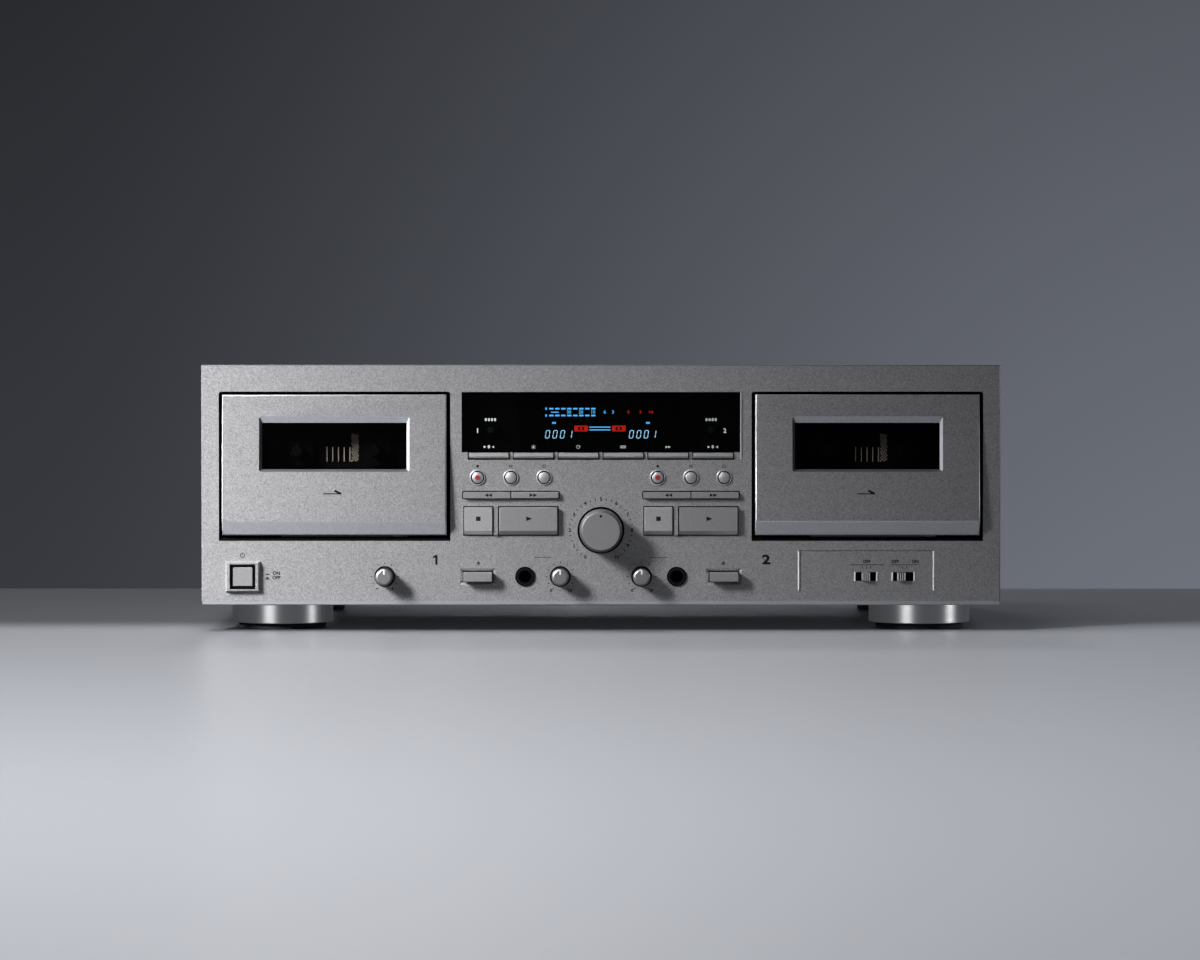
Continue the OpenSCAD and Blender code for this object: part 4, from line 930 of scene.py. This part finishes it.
@dataclass
class DisplayUnit:
    """Smoked window, the lit tube behind it and the keys around."""

    scale: float = 1.834
    middle: float = 601.0
    floor: float = 604.6
    rise: float = 14.5
    digit_w: float = 2.0
    digit_h: float = 4.1
    digit_pitch: float = 4.05
    stroke: float = 0.34
    lean: float = 9.0
    row_pys: tuple[float, ...] = (409.0, 415.8)
    dash_px: float = 551.4
    dash_pitch: float = 6.0
    counter_pxs: tuple[float, ...] = (547.7, 631.5)
    lamp_pxs: tuple[float, ...] = (581.2, 618.8)
    zero_pxs: tuple[float, ...] = (489.2, 712.7)
    dimmer_px: float = 533.6
    repeat_px: float = 578.2
    parallel_px: float = 623.1
    dub_px: float = 667.7
    scale_py: float = 412.5
    lamp_py: float = 428.8
    counter_py: float = 434.6
    sign_py: float = 447.1
    keys: tuple[str, ...] = ("zero_button_1", "dimmer_button", "repeat_button", "parallel_button",
                             "dub_button", "zero_button_2")

    def at(self, px: float, py: float) -> tuple[float, float]:
        """Return X and Z in millimetres of a point of the front plane at px, py in the photograph."""
        return (px - self.middle) / self.scale, self.rise + (self.floor - py) / self.scale

    def build(self) -> None:
        """Build the window, its prints, the segments and the six keys below."""
        Bench.soften("display_window", SMOKED, 0.15)
        Bench.paint("display_tube", TUBE)
        tube = front_of("display_tube")
        with Stencil("blue_lights", BLUE_GLOW, CABINET, tube, bold=0.03) as marks:
            self._level_rows(marks)
        with Stencil("pale_lights", PALE_GLOW, CABINET, tube) as marks:
            for px in self.counter_pxs:
                self._counter(marks, px, (0, 0, 0, 1))
        with Stencil("red_lights", RED_GLOW, CABINET, tube, bold=0.03) as marks:
            self._red_signs(marks)
        self._glass_print()
        for key in self.keys:
            Bench.soften(key, KEY, 0.25)
        for deck in (1, 2):
            Bench.soften(f"counter_button_{deck}", SOCKET, 0.2)

    def _level_rows(self, marks: Stencil) -> None:
        """Lay the two rows of level dashes with their scale and the small marks."""
        for py in self.row_pys:
            for i in range(8):
                x, z = self.at(self.dash_px + self.dash_pitch * i, py)
                marks.rect(x, z, 2.35, 0.85)
            x, z = self.at(546.2, py)
            marks.rect(x, z, 0.8, 1.2)
        for text, px in (("30", 569.0), ("20", 581.0), ("10", 593.0), ("6", 604.8), ("3", 613.0)):
            marks.write(text, *self.at(px, self.scale_py), 1.75)
        x, z = self.at(555.0, self.scale_py)
        marks.rect(x, z, 4.2, 0.5)
        for px in (554.1, 648.0):
            x, z = self.at(px, 423.2)
            for shift in (-0.55, 0.55):
                marks.rect(x + shift, z, 0.9, 1.0)
        for dz in (-0.75, 0.75):
            x, z = self.at(600.0, self.lamp_py)
            marks.rect(x, z + dz, 11.5, 0.55)

    def _counter(self, marks: Stencil, px: float, digits: tuple[int, ...]) -> None:
        """Lay one counter of leaning digits made of strokes.

        Args:
            marks: The stencil that takes the strokes.
            px: Middle of the first digit across the picture.
            digits: The digits from left to right, each 0 or 1.
        """
        lit = {0: "abcdef", 1: "bc"}
        x0, z0 = self.at(px, self.counter_py)
        w, h, s = self.digit_w, self.digit_h, self.stroke
        slope = math.tan(math.radians(self.lean))
        level = {"a": h / 2, "d": -h / 2}
        upright = {"f": (-1, 1), "b": (1, 1), "e": (-1, -1), "c": (1, -1)}
        for i, digit in enumerate(digits):
            x = x0 + i * self.digit_pitch
            for stroke in lit[digit]:
                if stroke in level:
                    marks.rect(x + slope * level[stroke], z0 + level[stroke], w - s * 1.3, s)
                else:
                    side, half = upright[stroke]
                    z = half * h / 4
                    marks.rect(x + side * w / 2 + slope * z, z0 + z, s, h / 2 - s * 1.1, -self.lean)

    def _red_signs(self, marks: Stencil) -> None:
        """Lay the red end of the scale and the two record lamps."""
        for text, px in (("0", 628.5), ("3", 640.4), ("+6", 651.0)):
            marks.write(text, *self.at(px, self.scale_py), 1.75)
        for px in self.lamp_pxs:
            x, z = self.at(px, self.lamp_py)
            for dz in (-1.25, 1.25):
                marks.rect(x, z + dz, 7.4, 0.7)
            for dx in (-2.65, 2.65):
                marks.rect(x + dx, z, 2.1, 1.8)
            marks.dot(x, z, 0.75)

    def _glass_print(self) -> None:
        """Print small light signs and the deck numbers on the window."""
        with Stencil("window_print", LIGHT_PRINT, CABINET, front_of("display_window")) as marks:
            for text, px, py, h in (("1", 477.9, 431.0, 2.4), ("2", 724.7, 431.0, 2.4),
                                    ("0 0 0 0", 490.7, 420.0, 1.5), ("0 0 0 0", 711.0, 420.0, 1.5)):
                marks.write(text, *self.at(px, py), h)
            for px in self.zero_pxs:
                x, z = self.at(px, self.sign_py)
                marks.write("0", x, z, 1.6)
                for side in (-1, 1):
                    marks.triangle(x + 2.4 * side, z, 1.3, 1.3, 90.0 * side)
            x, z = self.at(self.dimmer_px, self.sign_py)
            marks.dot(x, z, 0.45)
            dial(marks, x, z, 1.0, [45.0 * i for i in range(8)], 0.5, 0.16)
            x, z = self.at(self.repeat_px, self.sign_py)
            marks.ring(x, z, 0.85, 0.2, 60.0, 360.0, 14)
            marks.triangle(x + 0.85, z + 0.35, 0.8, 0.8, 0.0)
            x, z = self.at(self.parallel_px, self.sign_py)
            for dz in (-0.45, 0.45):
                marks.rect(x, z + dz, 3.2, 0.3)
            x, z = self.at(self.dub_px, self.sign_py)
            for shift in (-0.7, 0.7):
                marks.triangle(x + shift, z, 1.3, 1.3, -90.0)


@dataclass
class KeyBlock:
    """Round keys, winding keys, stop key and play key of one deck."""

    deck: int
    round_z: float = 83.75
    round_pitch: float = 18.1
    dot_r: float = 1.35
    wind_z: float = 74.2
    sign_z: float = 61.4
    stop_x: float = -17.7
    play_x: float = 9.5
    wind_x: float = 11.9
    rim: Profile = field(default_factory=lambda: [
        (3.67, -0.3), (3.67, -0.78), (3.75, -0.86), (3.9, -0.86), (4.1, -0.6), (4.1, -0.3)])

    def build(self) -> None:
        """Build the keys and lay their signs."""
        n, x = self.deck, KEYS[self.deck]
        for kind in ("record", "pause", "mute"):
            Bench.soften(f"{kind}_button_{n}", DOME, 0.3, 3)
        for kind, finish in (("rewind", KEY), ("forward", KEY), ("stop", STOP), ("play", KEY)):
            Bench.soften(f"{kind}_button_{n}", finish, 0.35, 3)
        self._red_dot(f"record_button_{n}", x - self.round_pitch)
        # The raised rims of the round keys take the paler sheen finish, a painted reflection.
        Bench.lathe(f"round_rims_{n}", self.rim,
                    [(x + i * self.round_pitch, FACE_Y, self.round_z) for i in (-1, 0, 1)], LIP_SHEEN)
        for kind, turn in (("rewind", 90.0), ("forward", -90.0)):
            place = x + (-self.wind_x if turn > 0 else self.wind_x)
            with self._signs(f"{kind}_button_{n}") as marks:
                for shift in (-1.0, 1.0):
                    marks.triangle(place + shift, self.wind_z, 2.05, 2.0, turn)
        with self._signs(f"stop_button_{n}") as marks:
            marks.rect(x + self.stop_x, self.sign_z, 2.5, 2.4)
        with self._signs(f"play_button_{n}") as marks:
            marks.triangle(x + self.play_x, self.sign_z, 3.3, 2.6, -90.0)

    @staticmethod
    def _signs(node: str) -> Stencil:
        """Return a stencil on the face of a key."""
        return Stencil(f"{node}_sign", PRINT, BODY_OF[node], front_of(node), 0.03)

    def _red_dot(self, node: str, x: float) -> None:
        """Lay the red dot on the crown of the record key."""
        with Stencil(f"{node}_dot", RED_DOT, BODY_OF[node], front_of(node) + 0.12, 0.15) as marks:
            marks.dot(x, self.round_z, self.dot_r, 32)


@dataclass
class LowerRow:
    """Power key, eject keys, knobs, jacks and slide switches."""

    rec_z: float = 55.0
    jack_x: float = 41.3
    shield_y: float = -122.7
    dot_up: float = 8.2
    line_up: float = 2.75
    groove_pitch: float = 1.1
    collar: float = 0.8
    knobs: dict[str, float] = field(default_factory=lambda: {
        "pitch_knob": -117.7, "mic_level_knob": -22.1, "phones_level_knob": 22.1})
    switches: dict[str, float] = field(default_factory=lambda: {"timer_switch": 144.3, "noise_switch": 163.6})
    # Profile of a black ring laid in the recess round the recording level knob; it is painted shade in the
    # gap.
    washer: Profile = field(default_factory=lambda: [
        (3.2, 1.95), (12.95, 1.95), (12.95, 0.25), (12.7, 0.25), (12.6, 1.7), (3.2, 1.7)])
    ring: Profile = field(default_factory=lambda: [
        (4.1, 0.6), (4.1, -0.02), (4.15, -0.1), (4.25, -0.1), (4.3, -0.02), (4.3, 0.6)])

    def build(self) -> None:
        """Build the row from left to right."""
        Bench.soften("power_button", KEY, 0.5, 3)
        for deck in (1, 2):
            Bench.soften(f"eject_button_{deck}", KEY, 0.4, 3)
        rec = Bench.soften("rec_level_knob", KNOB, 0.5, 3)
        # The chamfer and sides of the knob get painted shade.
        Bench.accent(rec, KNOB_EDGE_SHADE, self._is_edge)
        # A black ring in the knob's recess paints the shade of the gap round the knob.
        Bench.lathe("rec_level_washer", self.washer, [(0.0, FACE_Y, self.rec_z)], WELL_BLACK_AND_SHADE, sides=96)
        with Stencil("rec_level_knob_dot", PRINT, "rec_level_knob", front_of("rec_level_knob")) as marks:
            marks.dot(0.0, self.rec_z + self.dot_up, 0.7)
        for knob, x in self.knobs.items():
            # The sideways faces of each small knob get near-black painted shade.
            Bench.accent(Bench.soften(knob, SMALL_KNOB, 1.0, 5), KNOB_RIM_SHADE, self._is_rim)
            with Stencil(f"{knob}_line", POINTER, knob, front_of(knob)) as marks:
                marks.rect(x, ROW_Z + self.line_up, 0.6, 2.3)
        self._jacks()
        for switch, x in self.switches.items():
            self._slider(switch, x)

    @staticmethod
    def _is_rim(normal: Vector, _: Vector) -> bool:
        """Tell whether a face of a small knob looks sideways; these faces get near-black painted shade."""
        return normal.y > -0.4

    @staticmethod
    def _is_edge(normal: Vector, _: Vector) -> bool:
        """Tell whether a face of the recording level knob is not its front; these faces get painted shade."""
        return normal.y > -0.97

    def _slider(self, switch: str, x: float) -> None:
        """Build the cap of a slide switch with its grooves, and a black sheet behind its slot as painted
        shade.

        Args:
            switch: Name of the switch.
            x: Middle of its cap across, in millimetres.
        """
        Bench.soften(switch, CAP, 0.12)
        body = BODY_OF[switch]
        # A black sheet behind the slot paints the shade inside it.
        with Stencil(f"{switch}_shield", WELL_BLACK_AND_SHADE, body, self.shield_y) as marks:
            marks.rect(x, ROW_Z, 13.2, 6.7)
        with Stencil(f"{switch}_grooves", PRINT, body, front_of(switch)) as marks:
            for i in (-1, 0, 1):
                marks.rect(x + self.groove_pitch * i, ROW_Z, 0.55, 3.9)

    def _jacks(self) -> None:
        """Set a metal ring in the collar of each jack."""
        Bench.paint("audio_sockets", SOCKET)
        spots = [(side * self.jack_x, FACE_Y - self.collar, ROW_Z) for side in (-1, 1)]
        Bench.lathe("jack_rings", self.ring, spots, RING)


@dataclass
class Case:
    """Cover, tray, rear plate, feet, sockets and screws."""

    rear_y: float = 134.0
    foot_r: float = 27.75
    foot_wall: float = 3.6
    foot_edge: tuple[float, float] = (0.15, 0.5)
    seat: float = 2.5
    screw_r: float = 2.0
    groove: float = 0.8
    phono_x: tuple[float, ...] = (-150.0, -132.0)
    phono_z: tuple[float, ...] = (54.5, 72.5)
    sleeve: Profile = field(default_factory=lambda: [
        (3.6, 8.9), (4.3, 8.9), (4.45, 8.6), (4.45, 1.6), (4.16, 1.6), (4.16, 8.7)])
    washer: Profile = field(default_factory=lambda: [
        (4.2, 1.55), (6.2, 1.55), (6.5, 1.2), (6.5, 0.05), (4.2, 0.05)])

    def build(self) -> None:
        """Build the outside of the case."""
        Bench.soften("top_cover", COVER, 0.35)
        Bench.soften("rear_panel", ZINC, 0.2)
        self._feet()
        Bench.soften("foot_pads", PAD, 0.6, 3)
        Bench.soften("screws", SCREW, 0.25)
        Bench.paint("chassis", ZINC)
        self._phono_shells()

    def _feet(self) -> None:
        """Turn the four foot rings anew with a smooth wall."""
        low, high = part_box("feet")
        r, top, foot = self.foot_r, high.z / MM, low.z / MM
        inner, neck, brim = r - self.foot_wall, r - 2 * self.foot_wall, top - self.groove
        near, far = self.foot_edge
        profile = [(inner, foot), (r - far, foot), (r - near, foot + near), (r, foot + far), (r, brim - far),
                   (r - near, brim - near), (r - far, brim), (neck, brim), (neck, top), (self.screw_r, top),
                   (self.screw_r, foot + self.seat), (inner, foot + self.seat)]
        side, front, back = high.x / MM - r, low.y / MM + r, high.y / MM - r
        spots = [(x, y, 0.0) for x in (-side, side) for y in (front, back)]
        feet = Bench.lathe("feet_skin", profile, spots, FOOT, True, 96)
        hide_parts("feet")

    def _phono_shells(self) -> None:
        """Sleeve each rear socket in plated metal on a coloured washer."""
        spots = [(x, self.rear_y, z) for x in self.phono_x for z in self.phono_z]
        Bench.lathe("phono_sleeves", self.sleeve, spots, STEEL)
        for name, x, finish in (("phono_washers_light", self.phono_x[0], LIGHT_PRINT),
                                ("phono_washers_red", self.phono_x[1], RED_DOT)):
            Bench.lathe(name, self.washer, [(x, self.rear_y, z) for z in self.phono_z], finish)


@dataclass
class Inside:
    """What lies behind the doors and under the cover."""

    finishes: dict[str, Finish] = field(default_factory=lambda: {
        "deck_wells": WELL_BLACK_AND_SHADE, "transport_frames": PLATE, "motor_drives": PLATE, "circuit_boards": BOARD,
        "power_transformer": CORE})

    def build(self) -> None:
        """Give the inner nodes their finishes."""
        for node, finish in self.finishes.items():
            Bench.paint(node, finish)
        for deck in (1, 2):
            for node, finish in (("supply_spindle", HOLDER), ("takeup_spindle", HOLDER), ("capstan", STEEL),
                                 ("head_carriage", STEEL)):
                Bench.paint(f"{node}_{deck}", finish)


class Link(Enum):
    """How a lamp treats the pieces that it names: it leaves them out, or lights them alone."""

    EXCLUDE = "EXCLUDE"
    INCLUDE = "INCLUDE"


def facing(at: Point, aim: Point) -> Euler:
    """Return the rotation of a lamp or camera at one point that faces another."""
    return (Vector(aim) - Vector(at)).to_track_quat("-Z", "Y").to_euler()


@dataclass(frozen=True)
class Lamp:
    """One soft lamp, round or, where it has a height, a flat strip."""

    name: str
    at: Point
    aim: Point
    power: float
    size: float
    spread: float = 180.0
    height: float = 0.0
    colour: Colour = (1.0, 1.0, 1.0)
    link: Link = Link.EXCLUDE
    pieces: tuple[str, ...] = ()
    mirrored: bool = True

    def hang(self) -> None:
        """Hang the lamp and link it to the pieces that it names."""
        Bench.clear()
        bpy.ops.object.light_add(type="AREA", location=self.at)
        lamp = bpy.context.active_object
        lamp.name = self.name
        lamp.rotation_euler = facing(self.at, self.aim)
        lamp.visible_glossy = self.mirrored
        lamp.data.shape = "RECTANGLE" if self.height else "DISK"
        lamp.data.energy = self.power
        lamp.data.size = self.size
        lamp.data.spread = math.radians(self.spread)
        lamp.data.color = self.colour
        if self.height:
            lamp.data.size_y = self.height
        if self.pieces:
            flag = bpy.data.collections.new(f"{self.name}_flag")
            for i, name in enumerate(self.pieces):
                flag.objects.link(bpy.data.objects[name])
                flag.collection_objects[i].light_linking.link_state = self.link.value
            lamp.light_linking.receiver_collection = flag


FLOOR, FEET = "floor", "feet_skin"
WARM = (1.0, 0.93, 0.83)
LAMPS = (
    Lamp("key_light", (-0.98, -0.82, 0.66), (-0.38, -0.126, 0.04), 4.6, 0.45, 42.0, pieces=(FLOOR, FEET)),
    Lamp("floor_light", (-1.2, -1.3, 1.3), (-0.3, -1.1, 0.0), 12.8, 0.3, 110.0, link=Link.INCLUDE,
         pieces=(FLOOR,)),
    Lamp("foot_light_left", (-1.48, -2.7, 0.04), (0.0, -0.1, 0.0), 48.0, 1.1, height=0.06, colour=WARM,
         link=Link.INCLUDE, pieces=(FEET,)),
    Lamp("foot_light_right", (2.87, -0.98, 0.04), (0.0, -0.1, 0.0), 32.0, 0.8, height=0.06, colour=WARM,
         link=Link.INCLUDE, pieces=(FEET,)),
    Lamp("top_light", (-0.6, -0.25, 1.7), (-0.35, -1.1, 0.0), 11.0, 0.9),
    Lamp("side_light", (1.5, 0.0, 0.35), (0.0, 0.0, 0.05), 3.0, 0.3, pieces=(FLOOR, FEET)),
    Lamp("edge_light", (1.3, -0.75, 0.22), (0.1, -0.13, 0.05), 0.1, 0.12, pieces=(FLOOR, FEET)),
    Lamp("low_light", (0.0, 2.2, 0.27), (0.0, 0.1, 0.0), 0.85, 0.05, 12.0, colour=(1.0, 0.95, 1.0),
         mirrored=False),
    Lamp("rear_light", (-0.2, 1.5, 1.7), (0.0, 0.1, 0.05), 7.0, 0.5),
)


@dataclass
class Studio:
    """Pale floor with painted shade behind the deck, a glowing backdrop with painted light, soft lamps and
    the camera.
    """

    camera_at: Point = (0.0, -2.609, 0.150)
    aim: Point = (-0.0005, -0.126, 0.0824)
    lens: float = 136.9
    sensor: float = 36.0
    floor_size: float = 9.0
    floor_colour: Colour = (0.515, 0.53, 0.575)
    floor_rough: float = 0.36
    # Between these Y values the floor colour fades to 0.27 of itself: painted shade behind the front of the
    # deck.
    floor_fade: tuple[float, ...] = (-0.13, -0.02, 1.0, 0.27)
    wall_size: float = 8.0
    wall_y: float = 0.33
    wall_colour: Colour = (0.132, 0.142, 0.168)
    # These ramps paint the backdrop's glow darker to the left and toward the top, as painted light.
    wall_across: tuple[float, ...] = (-0.42, 0.46, 0.24, 1.0)
    wall_rise: tuple[float, ...] = (-4.0, -3.55, 1.2, 0.6)
    sky_colour: Colour = (0.93, 0.96, 1.0)
    ambient: float = 0.066

    def build(self) -> None:
        """Set up the floor, backdrop, lights and camera."""
        bpy.context.scene.view_settings.view_transform = "Standard"
        self._floor()
        self._wall()
        self._world()
        for lamp in LAMPS:
            lamp.hang()
        self._camera()

    @staticmethod
    def _plane(name: str, material: str, size: float, at: Point, turn: Point) -> tuple[Piece, Tree]:
        """Lay a plane of the stage with a new material.

        Args:
            name: Name of the plane.
            material: Name of its material.
            size: Length of its sides in metres.
            at: Its middle.
            turn: Its rotation.

        Returns:
            The plane, and the node tree of its material.
        """
        Bench.clear()
        bpy.ops.mesh.primitive_plane_add(size=size, location=at, rotation=turn)
        plane = bpy.context.active_object
        plane.name = name
        plain = bpy.data.materials.new(material)
        plain.use_nodes = True
        plane.data.materials.append(plain)
        return plane, plain.node_tree

    def _floor(self) -> None:
        """Lay the pale floor, whose colour is darkened behind the front of the deck as painted shade."""
        floor, tree = self._plane(FLOOR, "pale_floor", self.floor_size, (0.0, 0.0, 0.0), (0.0, 0.0, 0.0))
        shader = tree.nodes["Principled BSDF"]
        shader.inputs["Roughness"].default_value = self.floor_rough
        fade = Groups.ramp(tree, Groups.axes(tree)["Y"], self.floor_fade, "SMOOTHSTEP")
        tree.links.new(Groups.shade(tree, self.floor_colour, fade), shader.inputs["Base Color"])
        floor.visible_glossy = False

    def _wall(self) -> None:
        """Stand a grey backdrop that only shows from the front; it glows, and its glow is painted darker to
        the left and toward the top.
        """
        middle = (0.0, self.wall_y, self.wall_size / 2)
        wall, tree = self._plane("backdrop", "grey_backdrop", self.wall_size, middle, UPRIGHT)
        tree.nodes.remove(tree.nodes["Principled BSDF"])
        node, axes = Groups.node, Groups.axes(tree)
        across = Groups.ramp(tree, axes["X"], self.wall_across, "SMOOTHSTEP")
        rise = Groups.ramp(tree, axes["Y"], self.wall_rise, "LINEAR")
        share = Groups.math(tree, "MULTIPLY", across, rise)
        glow = node(tree, "ShaderNodeEmission", Groups.shade(tree, self.wall_colour, share))
        gone = node(tree, "ShaderNodeBsdfTransparent")
        behind = node(tree, "ShaderNodeNewGeometry").outputs["Backfacing"]
        mix = node(tree, "ShaderNodeMixShader", behind, glow.outputs[0], gone.outputs[0])
        tree.links.new(mix.outputs[0], tree.nodes["Material Output"].inputs["Surface"])
        wall.visible_shadow = False
        wall.visible_diffuse = False

    def _world(self) -> None:
        """Fill the shade with an even grey."""
        world = bpy.context.scene.world or bpy.data.worlds.new("World")
        bpy.context.scene.world = world
        world.use_nodes = True
        sky = world.node_tree.nodes["Background"]
        sky.inputs["Color"].default_value = (*self.sky_colour, 1.0)
        sky.inputs["Strength"].default_value = self.ambient

    def _camera(self) -> None:
        """Place the camera at the photograph's view."""
        Bench.clear()
        bpy.ops.object.camera_add(location=self.camera_at)
        camera = bpy.context.active_object
        camera.name = "photo_camera"
        camera.data.lens = self.lens
        camera.data.sensor_width = self.sensor
        camera.rotation_euler = facing(self.camera_at, self.aim)
        bpy.context.scene.camera = camera


def main() -> None:
    """Build every sub-assembly in order and log each one as it is done."""
    logging.basicConfig(level=logging.INFO, format="%(name)s: %(message)s")
    parts = [Case(), Inside(), FrontPanel(), DisplayUnit(), LowerRow()]
    for deck in (1, 2):
        parts += [CassetteDoor(deck), KeyBlock(deck)]
    parts.append(Studio())
    for part in parts:
        part.build()
        LOG.info("%s is done", type(part).__name__)
    Bench.clear()


if __name__ == "__main__":
    main()
